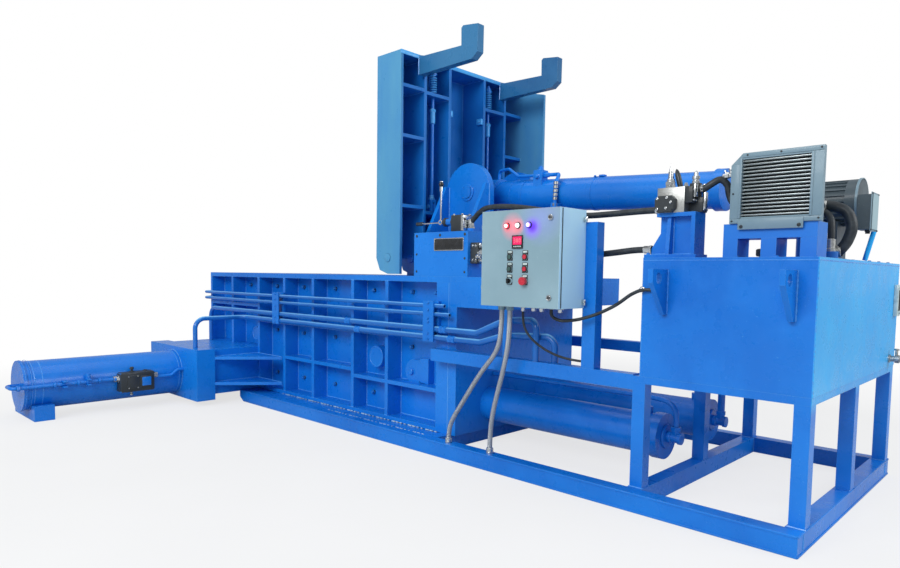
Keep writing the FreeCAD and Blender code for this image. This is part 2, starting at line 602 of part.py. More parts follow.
# ---------------------------------------------------------------- side press
def side_press():
    x = -s.side_x
    left = x - s.tunnel_half
    right = x + s.tunnel_half
    wall = s.tunnel_wall
    inner_low = s.box_bottom + s.floor_thick
    inner_top = s.tunnel_top - wall
    mouth = -s.tunnel_mouth
    back_out = s.bore_half + s.wall_thick
    front = -s.flange_front
    end_plate = cut(box(x - s.side_flange_half, x + s.side_flange_half, front, mouth, s.side_flange_low,
                        s.side_flange_top),
                    rod("y", (x, s.side_z), s.side_rod_radius * 1.4, front - 10, mouth + 10))
    parts = [
        end_plate,
        box(left, left + wall, mouth, back_out, s.tunnel_bottom, s.tunnel_top),
        box(right - wall, right, mouth, -s.bore_half, s.tunnel_bottom, s.tunnel_top),
        box(right - wall, right, s.bore_half, back_out, s.tunnel_bottom, s.tunnel_top),
        box(left + wall, right - wall, mouth, back_out, s.tunnel_bottom, inner_low),
        box(left + wall, right - wall, mouth, -s.bore_half, inner_top, s.tunnel_top),
        box(left + wall, right - wall, s.bore_half, back_out, inner_top, s.tunnel_top),
    ]
    for z in (s.gusset_high, s.gusset_low):
        parts.append(outline("z", [(right, mouth), (right, -s.rib_reach),
                                   (right + s.gusset_reach, -s.rib_reach),
                                   (x + s.side_flange_half, mouth)], z, z + s.gusset_thick))
    node("side_tunnel", *parts)

    at = (x, s.side_z)
    end = -s.side_end
    cap = s.side_cap
    barrel = rod("y", at, s.side_radius, end, front)
    bore = rod("y", at, s.side_bore, end + cap, front - cap)
    gland = rod("y", at, s.side_rod_radius + s.rod_fit, front - cap - 10, front + 10)
    valve_x = x + s.side_radius - 6
    pad = box(x + s.side_radius * 0.8, valve_x + 70, -s.side_valve_front, -s.side_valve_back, s.side_z - 100,
              s.side_z + 60)
    rib = rod("y", at, s.side_radius + 7, end, end + 26)
    pipe_x = valve_x + 29
    supply = tube("side supply", [(pipe_x, front, 306), (pipe_x, front - 55, 306), (pipe_x, front - 110, 263),
                                  (pipe_x, -s.side_valve_back, 263)], s.upper_pipe_radius, 30)
    feed = tube("side feed", [(pipe_x, -s.side_valve_front, 276), (pipe_x, end - 90, 276),
                              (x + 60, end - 90, 276), (x + 60, end, 276)], s.upper_pipe_radius, 40)
    node("side_cylinder", cut(fuse(barrel, rib, pad), bore, gland), supply, feed)

    saddle_left = -s.side_x - s.saddle_reach
    block = box(saddle_left, saddle_left + s.saddle_width, -s.saddle_front, -s.saddle_back, 0, s.saddle_top)
    node("cylinder_saddle", cut(block, rod("y", at, s.side_radius, -s.saddle_front - 10, 10 - s.saddle_back)))

    gap = s.slide_gap
    back = -s.side_ram_back
    face = gap - s.bore_half
    body = box(left + wall + gap, right - wall - gap, back, face, inner_low + gap, inner_top - gap)
    cavity = box(left + wall + s.ram_skin, right - wall - s.ram_skin, back + s.ram_plate, face - s.ram_plate,
                 inner_low + s.ram_skin, inner_top - s.ram_skin)
    rod_end = end + cap + 10
    shaft = rod("y", at, s.side_rod_radius, rod_end, back)
    piston = rod("y", at, s.side_bore - s.rod_fit, rod_end, rod_end + s.piston_thick)
    node("side_ram", cut(body, cavity), fuse(shaft, piston))


def gate():
    wall_out = s.bore_half + s.wall_thick
    left = -s.side_x - s.tunnel_half
    right = -s.side_x + s.tunnel_half
    gap = s.slide_gap
    near = wall_out + gap
    far = near + s.gate_thick
    plate_left = left + s.guide_width
    plate_right = right - s.guide_width
    parts = []
    for start in (left, right - s.guide_width):
        parts.append(box(start, start + s.guide_width, wall_out, wall_out + s.guide_depth, s.tunnel_bottom,
                         s.guide_top))
    keep_low = wall_out + s.gate_thick + gap * 2
    parts.append(box(left + s.guide_width, left + s.guide_width * 1.6, keep_low, wall_out + s.guide_depth,
                     s.tunnel_bottom, s.guide_top))
    parts.append(box(right - s.guide_width * 1.6, right - s.guide_width, keep_low, wall_out + s.guide_depth,
                     s.tunnel_bottom, s.guide_top))
    head_half = s.gate_cylinder_radius * 2
    beam_low = s.box_top - s.flange_thick - s.gate_beam
    parts.append(box(-s.side_x - head_half, -s.side_x + head_half, wall_out, s.gate_cylinder_y + 60, beam_low,
                     beam_low + s.gate_beam))
    parts.append(box(left + s.guide_width, right - s.guide_width, wall_out, wall_out + s.gate_thick,
                     s.tunnel_bottom, s.gate_low - gap))
    at = (-s.side_x, s.gate_cylinder_y)
    barrel = rod("z", at, s.gate_cylinder_radius, s.gate_head_low, beam_low)
    bore = rod("z", at, s.gate_bore, s.gate_head_low + s.gate_cap, beam_low - s.gate_cap)
    gland = rod("z", at, s.gate_rod_radius + s.rod_fit, s.gate_head_low - 10, s.gate_head_low + s.gate_cap)
    node("gate_frame", *parts, cut(barrel, bore, gland))

    plate = box(plate_left + gap, plate_right - gap, near, far, s.gate_low, s.gate_high)
    ear = box(-s.side_x - 40, -s.side_x + 40, far, s.gate_cylinder_y + 40, s.gate_high - 60, s.gate_high)
    piston_low = s.gate_head_low + s.gate_cap + 3
    shaft = rod("z", at, s.gate_rod_radius, s.gate_high, piston_low)
    piston = rod("z", at, s.gate_bore - s.rod_fit, piston_low, piston_low + s.gate_piston)
    node("discharge_gate", fuse(plate, ear, shaft, piston))


# ---------------------------------------------------------------- lid
HINGED_RIBS = ((-s.lid_rib_b, 1), (-s.lid_rib_c, -1), (s.lid_rib_d, 1), (s.lid_rib_e, -1))


def hinge_blocks():
    """Start and end, across the machine, of the block beside each hinged rib."""
    spans = []
    for y, side in HINGED_RIBS:
        start = y + s.lid_rib + s.hinge_gap if side > 0 else y - s.hinge_gap - s.hinge_block_width
        spans.append((start, start + s.hinge_block_width))
    return spans


def lid():
    face = -s.hinge_x - s.lid_seat
    back = face + s.lid_depth
    plate = s.lid_plate
    rib = s.lid_rib
    hinge = (-s.hinge_x, s.hinge_z)
    foot = s.lid_bottom
    toe = s.lid_seat * 0.69
    ribs = (-s.lid_front, -s.lid_rib_b, -s.lid_rib_c, s.lid_rib_d, s.lid_rib_e, s.lid_rear - rib)
    notch_top = s.hinge_z + s.hinge_block_length / 2 + s.notch_gap
    notches = [box(face - 10, face + plate + 10, start - s.notch_gap, end + s.notch_gap, s.hinge_z - 10,
                   notch_top)
               for start, end in hinge_blocks()]
    skin = box(face, face + plate, -s.lid_front, s.lid_rear, s.hinge_z, s.lid_top)
    parts = [cut(skin, *notches),
             box(face + plate, back, -s.lid_front, s.lid_rear, s.lid_top - rib, s.lid_top)]
    for y in ribs:
        profile = [(face + plate, s.lid_top - rib), (face + plate, s.hinge_z), (face, s.hinge_z),
                   (-s.hinge_x - toe, s.hinge_z - toe), (-s.hinge_x, foot), (back, foot),
                   (back, s.lid_top - rib)]
        blank = outline("y", profile, y, y + rib)
        parts.append(cut(blank, rod("y", hinge, s.hinge_pin_radius + s.hinge_fit, y - 10, y + rib + 10)))
    high = s.lid_top - s.shelf_high
    mid = s.lid_top - s.shelf_mid
    shelves = {0: (high, mid, s.hinge_z + s.shelf_low), 1: (s.spring_rib_z, s.spring_foot_z),
               2: (s.hinge_z + s.shelf_foot,), 3: (s.spring_rib_z, s.spring_foot_z), 4: (high, mid)}
    shelf_pocket = s.spring_rod_radius + 2
    for bay, heights in shelves.items():
        left = ribs[bay] + rib
        right = ribs[bay + 1]
        for height in heights:
            shelf = box(face + plate, back, left, right, height, rib + height)
            if height is s.spring_rib_z:
                y = -s.spring_y if bay == 1 else s.spring_y
                shelf = cut(shelf, rod("z", (-s.spring_x, y), shelf_pocket, height - 10, height + 40))
            parts.append(shelf)
    cheek_out = back + s.cheek_reach
    cheek_high = s.lid_top - s.cheek_drop
    parts.append(outline("y", [(back, s.cheek_low - 70), (cheek_out, s.cheek_low), (cheek_out, cheek_high),
                               (back, cheek_high + 60)], s.lid_rear - rib, s.lid_rear))
    for side in (-1, 1):
        inner = s.eye_width / 2 + s.lug_gap
        low, high = (inner, inner + s.lug_plate) if side > 0 else (-inner - s.lug_plate, -inner)
        arm = box(face + plate, -s.eye_x, low, high, s.eye_z - s.lug_radius, s.eye_z + s.lug_radius)
        tip = rod("y", (-s.eye_x, s.eye_z), s.lug_radius, low, high)
        outer = (high, high + 16) if side > 0 else (low - 16, low)
        stub = rod("y", (-s.eye_x, s.eye_z), s.eye_pin_radius, *outer)
        parts.append(fuse(arm, tip, stub))
    node("lid_panel", *parts)

    top = s.lid_top
    tip = back + s.horn_reach
    crest = top + s.horn_rise
    foot = top - s.horn_foot
    horn = [(back, top - 2), (back + 52, top - 16), (tip - 151, top - 27), (tip - 153, crest - 14),
            (tip - 137, crest), (tip, crest - 19), (tip - 2, foot + 46), (tip - 53, foot + 7),
            (tip - 246, foot + 5), (back, foot)]
    node("lid_horns", *[outline("y", horn, start - s.horn_thick, start)
                        for start in (-s.lid_rib_b, s.lid_rib_e)])

    springs = []
    rods = []
    for side in (-1, 1):
        y = s.spring_y * side
        at = (-s.spring_x, y)
        shelf_top = s.spring_rib_z + rib
        washer = s.lid_rib / 2
        spring_low = shelf_top + s.spring_wire + 0.3
        springs.append(coil(f"spring {side}", -s.spring_x, y, spring_low, s.spring_radius, s.spring_wire,
                            s.spring_pitch, s.spring_turns))
        spring_top = spring_low + s.spring_pitch * s.spring_turns + s.spring_wire + 0.3
        low = s.spring_rod_low
        fork = box(-s.spring_x - s.clevis_half, -s.spring_x + s.clevis_half, y - s.clevis_half,
                   y + s.clevis_half, low - s.clevis_height, low)
        slot = box(-s.spring_x - s.clevis_half - 5, -s.spring_x + s.clevis_half + 5, y - 10, y + 10,
                   low - s.clevis_height - 5, low - 20)
        pin = rod("y", (-s.spring_x, low - s.clevis_height * 0.6), 9, y - s.clevis_half - 6,
                  y + s.clevis_half + 6)
        shaft = rod("z", at, s.spring_rod_radius, low, spring_top + 55)
        collar = rod("z", at, s.spring_radius + 6, spring_top, spring_top + washer)
        nut = rod("z", at, s.spring_rod_radius * 1.8, spring_top + washer, spring_top + washer + 22)
        tongue = box(-s.spring_x - 20, -s.spring_x + 20, y - 9, y + 9,
                     s.spring_foot_z + rib, low - 30)
        rods.append(fuse(cut(fork, slot), pin, shaft, collar, nut))
        rods.append(cut(tongue, rod("y", (-s.spring_x, low - s.clevis_height * 0.6), 9, y - 40, y + 40)))
    node("lid_springs", *springs)
    node("spring_rods", *rods)

    blocks = []
    half = s.hinge_block_length / 2
    for (start, end), (y, side) in zip(hinge_blocks(), HINGED_RIBS):
        body = outline("y", [(-s.hinge_x - half, s.box_top), (-s.hinge_x + half, s.box_top),
                             (-s.hinge_x + half * 0.7, s.hinge_z + half * 0.3),
                             (-s.hinge_x + half * 0.3, s.hinge_z + half * 0.75),
                             (-s.hinge_x - half * 0.3, s.hinge_z + half * 0.75),
                             (-s.hinge_x - half * 0.7, s.hinge_z + half * 0.3)], start, end)
        pin_start, pin_end = (y - 12, end) if side > 0 else (start, y + rib + 12)
        blocks.append(fuse(body, rod("y", hinge, s.hinge_pin_radius, pin_start, pin_end)))
    node("lid_hinge_blocks", *blocks)


# ---------------------------------------------------------------- lid cylinder
def lid_drive():
    reach_x = number(s.eye_x) - number(s.trunnion_x)
    rise = number(s.eye_z) - number(s.trunnion_z)
    tilt = math.degrees(math.atan2(rise, reach_x))
    turn = FreeCAD.Rotation(FreeCAD.Vector(0, 1, 0), tilt)
    reach = math.hypot(reach_x, rise)
    head = s.lid_head
    end = s.lid_cylinder_length
    cap = s.lid_end_cap
    at = (0, 0)
    barrel = fuse(rod("x", at, s.lid_head_radius, -head, head * 1.4),
                  rod("x", at, s.lid_cylinder_radius, head * 1.4, end - cap),
                  rod("x", at, s.lid_cylinder_radius + s.cap_lip, end - cap, end),
                  rod("y", at, s.trunnion_radius, -s.pedestal_inner - s.pedestal_thick - 14,
                      s.pedestal_inner + s.pedestal_thick + 14),
                  rod("y", at, s.trunnion_radius * 1.5, 0.3 - s.pedestal_inner, s.pedestal_inner - 0.3))
    bore = rod("x", at, s.lid_bore, head * 1.4, end - cap)
    gland = rod("x", at, s.lid_rod_radius + s.rod_fit, -head - 10, head * 1.4 + 10)
    pipe_y = -60
    block = box(430, 505, -95, -25, 0, 165)
    boss = box(635, 675, -150, 0, -100, -70)
    supply = tube("lid supply", [(40, 0, s.lid_head_radius - 1.5), (40, 0, 190), (180, pipe_y, 190),
                                 (270, pipe_y, 132), (430, pipe_y, 132)], s.lid_pipe_radius, 45)
    hose = tube("lid hose", [(505, pipe_y, 132), (600, pipe_y, 132), (655, -100, 128), (655, -132, 70),
                             (655, -132, -70)], s.lid_hose_radius)
    shell = cut(fuse(barrel, block, boss), bore, gland)
    cylinder = node("lid_cylinder", fuse(shell, supply), hose)
    place(cylinder, -s.trunnion_x, 0, s.trunnion_z, turn)

    half_eye = s.eye_width / 2
    eye = cut(fuse(rod("y", (-reach, 0), s.eye_radius, -half_eye, half_eye),
                   rod("x", at, s.lid_rod_radius, s.eye_radius * 0.6 - reach, end - cap - 20),
                   rod("x", at, s.lid_bore - s.rod_fit, end - cap - s.piston_thick - 20, end - cap - 20)),
              rod("y", (-reach, 0), s.eye_pin_radius + 1, -half_eye - 10, half_eye + 10))
    plunger = node("lid_rod", eye)
    place(plunger, -s.trunnion_x, 0, s.trunnion_z, turn)

    radius = number(s.pedestal_radius)
    centre_x = -number(s.trunnion_x)
    centre_z = number(s.trunnion_z)
    for name, side in (("pedestal_front", -1), ("pedestal_rear", 1)):
        low = number(s.pedestal_inner)
        high = low + number(s.pedestal_thick)
        start = low if side > 0 else -high
        left = FreeCAD.Vector(centre_x - radius, start, centre_z)
        right = FreeCAD.Vector(centre_x + radius, start, centre_z)
        top = FreeCAD.Vector(centre_x, start, centre_z + radius)
        foot_right = FreeCAD.Vector(centre_x + radius, start, number(s.box_top))
        foot_left = FreeCAD.Vector(centre_x - radius, start, number(s.box_top))
        rim = Part.Wire([Part.Arc(left, top, right).toShape(), Part.LineSegment(right, foot_right).toShape(),
                         Part.LineSegment(foot_right, foot_left).toShape(),
                         Part.LineSegment(foot_left, left).toShape()])
        slab = fixed(Part.Face(rim).extrude(FreeCAD.Vector(0, number(s.pedestal_thick), 0)))
        slab = cut(slab, rod("y", (-s.trunnion_x, s.trunnion_z), s.trunnion_radius + s.hinge_fit, start - 10,
                             start + number(s.pedestal_thick) + 10))
        parts = [slab]
        outer = s.pedestal_inner + s.pedestal_thick
        for edge in (-s.trunnion_x - s.pedestal_radius,
                     -s.trunnion_x + s.pedestal_radius - s.pedestal_gusset):
            profile = [(outer * side, s.box_top), (outer * side, s.gusset_tip),
                       (s.gusset_tip_y * side, s.gusset_tip), (s.gusset_foot * side, s.gusset_shoulder),
                       (s.gusset_foot * side, s.box_top)]
            parts.append(outline("x", profile, edge, edge + s.pedestal_gusset))
        node(name, *parts)


# ---------------------------------------------------------------- valve housing
def housing():
    wall = s.housing_wall
    front = -s.rib_reach
    back = -s.housing_back
    shell = cut(box(-s.housing_left, -s.housing_right, front, back, s.box_top, s.housing_top),
                box(wall - s.housing_left, -s.housing_right - wall, front + wall, back - wall, s.box_top - 5,
                    s.housing_top - wall))
    plate = box(-s.plate_left, -s.plate_right, front - s.plate_thick, front, s.plate_low, s.plate_high)
    middle = -s.lever_y
    pivot = (-s.lever_x, s.lever_z)
    body_right = -s.plate_right - s.hand_valve_inset
    body_left = body_right - s.hand_valve_width
    body = box(body_left, body_right, middle - s.hand_valve_half, middle + s.hand_valve_half, s.housing_top,
               s.lever_z + s.hand_valve_half - 7)
    nose = rod("x", (middle, s.lever_z), 24, -s.lever_x + 25, body_left)
    tongue = box(-s.lever_x - 16, -s.lever_x + 30, middle - s.lever_half, middle + s.lever_half,
                 s.lever_z - 16, s.lever_z + 16)
    reach = s.lever_half + s.lever_thick + 4
    pin = rod("y", pivot, s.lever_pin, middle - reach, middle + reach)
    port_end = s.port_length - s.housing_right
    block = box(-s.housing_right, port_end, middle - 40, middle + 40, s.port_z - s.port_half,
                s.port_z + s.port_half)
    fittings = [rod("x", (middle + offset, s.port_z), 20, port_end, port_end + 40) for offset in (-22, 22)]
    collar = rod("z", (-s.hose_port_x, middle), 24, s.housing_top, s.housing_top + 20)
    node("valve_housing", shell, plate, fuse(body, nose, tongue, pin), fuse(block, *fittings), collar)

    bore = rod("y", pivot, s.lever_pin + s.hinge_fit, middle - 60, middle + 60)
    near = middle - s.lever_half - s.slide_gap
    far = middle + s.lever_half + s.slide_gap
    grip_start = s.lever_reach
    grip_end = s.lever_reach + s.grip_length
    stick_y = near - s.lever_thick / 2
    node("valve_lever_upright", cut(fuse(
        rod("y", pivot, s.lever_hub, near - s.lever_thick, near),
        rod("z", (-s.lever_x, stick_y), s.lever_radius, s.lever_z, s.lever_z + grip_start),
        rod("z", (-s.lever_x, stick_y), s.grip_radius, s.lever_z + grip_start, s.lever_z + grip_end)), bore))
    stick_y = far + s.lever_thick / 2
    node("valve_lever_flat", cut(fuse(
        rod("y", pivot, s.lever_hub, far, far + s.lever_thick),
        rod("x", (stick_y, s.lever_z), s.lever_radius, -s.lever_x - grip_start, -s.lever_x),
        rod("x", (stick_y, s.lever_z), s.grip_radius, -s.lever_x - grip_end, -s.lever_x - grip_start)), bore))


# ---------------------------------------------------------------- pipes
def pipes():
    y = -s.pipe_y
    left = -s.box_left - 60
    corner_y = s.rib_reach + 50
    rear_x = -s.side_x
    upper = []
    upper_y = y - s.lower_pipe_radius + s.upper_pipe_radius
    for name, z, reach in (("pipe a", s.pipe_a_z, 0), ("pipe b", s.pipe_b_z, s.pipe_a_z - s.pipe_b_z - 7)):
        route = [(rear_x + reach, corner_y, z), (left, corner_y, z), (left, upper_y, z),
                 (-s.box_right + reach, upper_y, z)]
        upper.append(tube(name, route, s.upper_pipe_radius, 90, s.pipe_bore))
    node("upper_pipes", *upper)
    lower = []
    start_x = s.pipe_c_inset - s.box_left
    rise = s.pipe_c_rise
    lower.append(tube("pipe c", [
        (start_x, y, s.tunnel_top), (start_x, y, s.pipe_c_z), (-s.pipe_turn, y, s.pipe_c_z),
        (-s.pipe_climb, y, s.pipe_c_z + rise * 0.86), (-s.pipe_level, y, s.pipe_c_z + rise * 0.95),
        (-s.pipe_c_drop, y - 30, s.pipe_c_z + rise), (-s.pipe_c_drop, y - 30, s.side_rail_top),
    ], s.lower_pipe_radius, 90, s.pipe_bore))
    start_x = -s.rib_c - s.far_boss_inset
    start_y = 70 - s.flange_front
    rise = s.pipe_d_rise
    lower.append(tube("pipe d", [
        (start_x, start_y, s.side_flange_top), (start_x, start_y, s.pipe_d_z), (start_x, y, s.pipe_d_z),
        (30 - s.pipe_turn, y, s.pipe_d_z), (-s.pipe_climb, y, s.pipe_d_z + rise * 0.8),
        (-s.pipe_level, y, s.pipe_d_z + rise * 0.9), (-s.pipe_d_drop, y + 20, s.pipe_d_z + rise),
        (-s.pipe_d_drop, y + 20, s.side_rail_top),
    ], s.lower_pipe_radius, 90, s.pipe_bore))
    node("lower_pipes", *lower)
    clamps = []
    for x in (-s.rib_d - s.clamp_step, -s.post_left - s.clamp_step):
        half = s.clamp_width / 2
        strap = y - s.lower_pipe_radius
        clamps.append(box(x - half, x + half, strap - s.clamp_plate, strap, s.clamp_low, s.clamp_high))
        back = y + s.lower_pipe_radius
        clamps.append(box(x - half, x + half, back, -s.rib_reach, s.clamp_low, s.clamp_high))
    node("pipe_clamps", *clamps)


# ---------------------------------------------------------------- cabinet
def cabinet():
    wall = s.cabinet_wall
    left = -s.cabinet_left
    right = -s.cabinet_right
    front = -s.cabinet_front
    door_back = front + s.door_thick
    body_front = door_back + s.door_gap
    back = -s.stand_front
    shell = cut(box(left, right, body_front, back, s.cabinet_low, s.cabinet_high),
                box(left + wall, right - wall, body_front - 10, back - wall, s.cabinet_low + wall,
                    s.cabinet_high - wall))
    glands = []
    for x, y, radius in CABLE_EXITS:
        glands.append(rod("z", (x, y), radius * 1.5, s.cabinet_low - s.gland_height, s.cabinet_low))
    axis = (left - s.door_hinge_offset, door_back)
    span = s.cabinet_high - s.cabinet_low
    knuckles = []
    door_knuckles = []
    for share in (0.14, 0.78):
        low = s.cabinet_low + span * share
        leaf = box(left - s.door_hinge_offset, left, door_back + s.knuckle_radius * 0.5 + s.door_gap,
                   body_front + 24, low, low + 20)
        knuckles.append(fuse(rod("z", axis, s.knuckle_radius, low, low + 20), leaf))
        door_knuckles.append(rod("z", axis, s.knuckle_radius, low + 20.3, low + 40))
    node("cabinet", shell, *glands, *knuckles)

    sheet_back = front + s.door_sheet
    skin = cut(box(left, right, front, door_back, s.cabinet_low, s.cabinet_high),
               box(left + s.door_sheet * 2, right - s.door_sheet * 2, sheet_back, door_back + 10,
                   s.cabinet_low + s.door_sheet * 2, s.cabinet_high - s.door_sheet * 2))
    leaves = [box(left - s.door_hinge_offset, left, front + 4, door_back, s.cabinet_low + span * share + 20.3,
                  s.cabinet_low + span * share + 40) for share in (0.14, 0.78)]
    collar_front = front - s.collar_height
    stems = []
    collars = []
    for x in (-s.button_left, -s.button_right):
        for z in (s.button_top_z, s.button_mid_z, s.switch_z):
            collars.append(rod("y", (x, z), s.collar_radius, collar_front, front))
            stems.append((x, z))
    holes = []
    for x, z in stems:
        stop_here = (x.value, z.value) == (-s.button_right.value, s.switch_z.value)
        radius = s.stop_stem if stop_here else s.button_radius
        holes.append(rod("y", (x, z), radius + s.button_fit, collar_front - 10, sheet_back + 10))
    lock_holes = [rod("y", (-s.lock_x, z), s.lock_radius * 0.6 + s.button_fit, front - 10, sheet_back + 10)
                  for z in (s.lock_low, s.lock_high)]
    node("cabinet_door", cut(fuse(skin, *collars, *door_knuckles, *leaves), *holes, *lock_holes))
    lamps = []
    for step in (-1, 0, 1):
        x = -s.lamp_x + s.lamp_step * step
        lamps.append(fuse(rod("y", (x, s.lamp_z), s.lamp_radius * 1.25, front - s.lamp_height * 0.4, front),
                          rod("y", (x, s.lamp_z), s.lamp_radius, front - s.lamp_height, front)))
    half = s.meter_side / 2
    lamps.append(box(-s.lamp_x - half, half - s.lamp_x, front - s.meter_depth, front, s.meter_z - half,
                     s.meter_z + half))
    node("door_instruments", *lamps)

    index = 0
    for x in (-s.button_left, -s.button_right):
        for z in (s.button_top_z, s.button_mid_z):
            index += 1
            node(f"push_button_{index}", rod("y", (x, z), s.button_radius,
                                             collar_front - s.button_height * 0.5, sheet_back + 4))
    spot = (-s.button_left, s.switch_z)
    dial = rod("y", spot, s.button_radius, collar_front - s.knob_height * 0.4, sheet_back + 4)
    grip = box(-s.button_left - s.knob_radius * 0.35, s.knob_radius * 0.35 - s.button_left,
               collar_front - s.knob_height, collar_front - s.knob_height * 0.4, s.switch_z - s.knob_radius,
               s.switch_z + s.knob_radius)
    node("selector_knob", fuse(dial, grip))
    spot = (-s.button_right, s.switch_z)
    cap_back = collar_front - s.stop_travel - 1
    node("stop_button", fuse(rod("y", spot, s.stop_stem, cap_back - 1, sheet_back + 4),
                             rod("y", spot, s.stop_radius, cap_back - s.stop_height, cap_back)))
    for name, z in (("door_lock_lower", s.lock_low), ("door_lock_upper", s.lock_high)):
        spot = (-s.lock_x, z)
        face = rod("y", spot, s.lock_radius, front - 7, front - s.button_fit)
        barrel = rod("y", spot, s.lock_radius * 0.6, front - s.button_fit - 1, sheet_back + 6)
        key = box(-s.lock_x - 3, 3 - s.lock_x, front - 12, front - 7, z - 9, z + 9)
        node(name, fuse(face, barrel, key))

    near = -s.stand_front
    depth = near + s.leg_width
    right_post = -s.post_right_x
    left_post = -s.post_left_x
    post_left = right_post - s.post_right_width
    parts = [box(post_left, right_post, near, depth, s.side_rail_top, s.post_right_top),
             box(left_post, left_post + s.post_left_width, near, near + s.post_left_depth, s.side_rail_top,
                 s.post_right_top)]
    for z in (s.cross_bar_low, s.cross_bar_high):
        parts.append(box(left_post + s.post_left_width, post_left, near, near + s.cross_bar, z,
                         z + s.cross_bar))
    node("cabinet_posts", *parts)


# Where cables leave the cabinet floor: x, y and the cable's radius.
CABLE_EXITS = (
    (-s.cabinet_left + 46, -s.gland_y, s.conduit_radius),
    (-s.cabinet_left + 106, -s.gland_y, s.conduit_radius),
    (-s.cabinet_left + 201, -s.gland_y, s.cable_radius),
)


# ---------------------------------------------------------------- on top of the tank
def power_pack():
    top = s.tank_top
    left = -s.manifold_left
    right = -s.manifold_right
    front = -s.manifold_front
    back = -s.manifold_back
    plate = s.stand_plate
    low = s.manifold_low
    web = (front + back) / 2
    end = right + s.stand_reach
    node("manifold_stand",
         box(left - s.stand_toe - 10, right + s.stand_flare, front - 10, back + 10, top, top + plate),
         outline("y", [(left - s.stand_toe, top + plate), (end, top + plate), (end, low - plate),
                       (left, low - plate), (left, top + 130), (left - s.stand_toe, top + 50)],
                 web - plate / 2, web + plate / 2),
         box(end, end + plate, front, back, top + plate, low - plate),
         outline("x", [(front, top + plate), (front + 20, low - plate), (web - plate / 2, low - plate),
                       (web - plate / 2, top + plate)], left + 50, left + 50 + plate),
         outline("x", [(web + plate / 2, top + plate), (web + plate / 2, low - plate),
                       (back - 20, low - plate), (back, top + plate)], left + 50, left + 50 + plate),
         box(left, end + plate, front, back, low - plate, low))

    block = box(left, right, front, back, low, s.manifold_high)
    high = s.manifold_high
    node("manifold_block", block, rod("z", (left + 40, web), 22, high, high + 38))
    edge = left + s.valve_plate
    rise = low + s.valve_plate_high
    corner = s.valve_corner
    step = front + s.valve_step
    cap = high + s.valve_rise
    node("control_valves",
         outline("y", [(left + corner, low), (edge - corner, low), (edge, low + corner),
                       (edge, rise - corner), (edge - corner, rise), (left + corner, rise),
                       (left, rise - corner), (left, low + corner)], front - s.valve_plate_thick, front),
         box(right, end, front, step, low + 46, high),
         box(right, right + s.valve_reach, step, back - 10, low, low + 74),
         fuse(box(right, right + s.valve_step, step, step + 40, low + 74, cap),
              rod("z", (right + 25, step + 20), 15, cap, cap + 44)))

    # Oil cooler: fins in a flanged frame, a shroud with the fan behind, and a stand of columns and a beam.
    c_left = -s.cooler_left
    c_right = s.cooler_right
    c_front = -s.cooler_front
    c_back = -s.cooler_back
    frame = s.cooler_frame
    bevel = s.cooler_side
    core_left = c_left + s.cooler_side
    core_right = c_right - s.cooler_side
    core_low = s.cooler_low + frame
    core_high = s.cooler_high - frame
    shaft_x = (c_left + c_right) / 2
    shaft_z = (s.cooler_low + s.cooler_high) / 2
    depth = (c_back - c_front) * 0.5
    count = int(number(s.fin_count))
    pitch = (core_high - core_low) / count
    core = [box(core_left, core_right, c_front + depth * 0.5, c_front + depth, core_low, core_high)]
    for step in range(count):
        z = core_low + pitch * (step + 0.5)
        core.append(box(core_left, core_right, c_front + 4, c_front + depth * 0.5, z - s.fin_thick / 2,
                        z + s.fin_thick / 2))
    node("oil_cooler", *core)
    flange = outline("y", [(c_left, s.cooler_low), (c_right, s.cooler_low), (c_right, s.cooler_high),
                           (c_left + bevel, s.cooler_high), (c_left, s.cooler_high - bevel)],
                     c_front, c_front + s.cooler_flange)
    hood = box(core_left - 16, core_right + 16, c_front + s.cooler_flange, c_back, s.cooler_low,
               s.cooler_high)
    shroud = cut(fuse(flange, hood),
                 box(core_left, core_right, c_front - 10, c_front + depth, core_low, core_high),
                 rod("y", (shaft_x, shaft_z), s.fan_radius + 6, c_front + depth - 10, c_back + 10))
    beam_low = s.cooler_low - s.stand_beam
    column = s.stand_column
    legs = [box(x, x + column, c_front + 10, c_back, s.tank_top, beam_low)
            for x in (c_left - 30, shaft_x - column + 15, c_right - column - 15)]
    beam = box(c_left - 30, c_right - 15, c_front + 10, c_back, beam_low, s.cooler_low)
    spider = fuse(rod("y", (shaft_x, shaft_z), s.fan_shaft * 2.4, c_back, c_back + 16),
                  box(shaft_x - 12, shaft_x + 12, c_back, c_back + 12, shaft_z - s.fan_radius - 24,
                      shaft_z + s.fan_radius + 24))
    spider = cut(spider, rod("y", (shaft_x, shaft_z), s.fan_shaft + s.hinge_fit, c_back - 10, c_back + 30))
    node("cooler_frame", shroud, *legs, beam, spider)

    fan_front = c_front + depth + 8
    blades = [rod("y", (shaft_x, shaft_z), s.fan_hub, fan_front, fan_front + s.fan_depth),
              rod("y", (shaft_x, shaft_z), s.fan_shaft, fan_front + s.fan_depth, c_back + 24)]
    centre = FreeCAD.Vector(number(shaft_x), number(fan_front) + number(s.fan_depth) / 2, number(shaft_z))
    blade_count = 6
    for step in range(blade_count):
        blade = Part.makeBox(number(s.fan_radius) - number(s.fan_hub) + 4, 4, 54)
        blade.translate(FreeCAD.Vector(number(s.fan_hub) - 4, -2, -27))
        blade.rotate(FreeCAD.Vector(), FreeCAD.Vector(1, 0, 0), 62)
        blade.rotate(FreeCAD.Vector(), FreeCAD.Vector(0, 1, 0), 360 / blade_count * step)
        blade.translate(centre)
        blades.append(fixed(blade))
    node("cooling_fan", fuse(*blades))

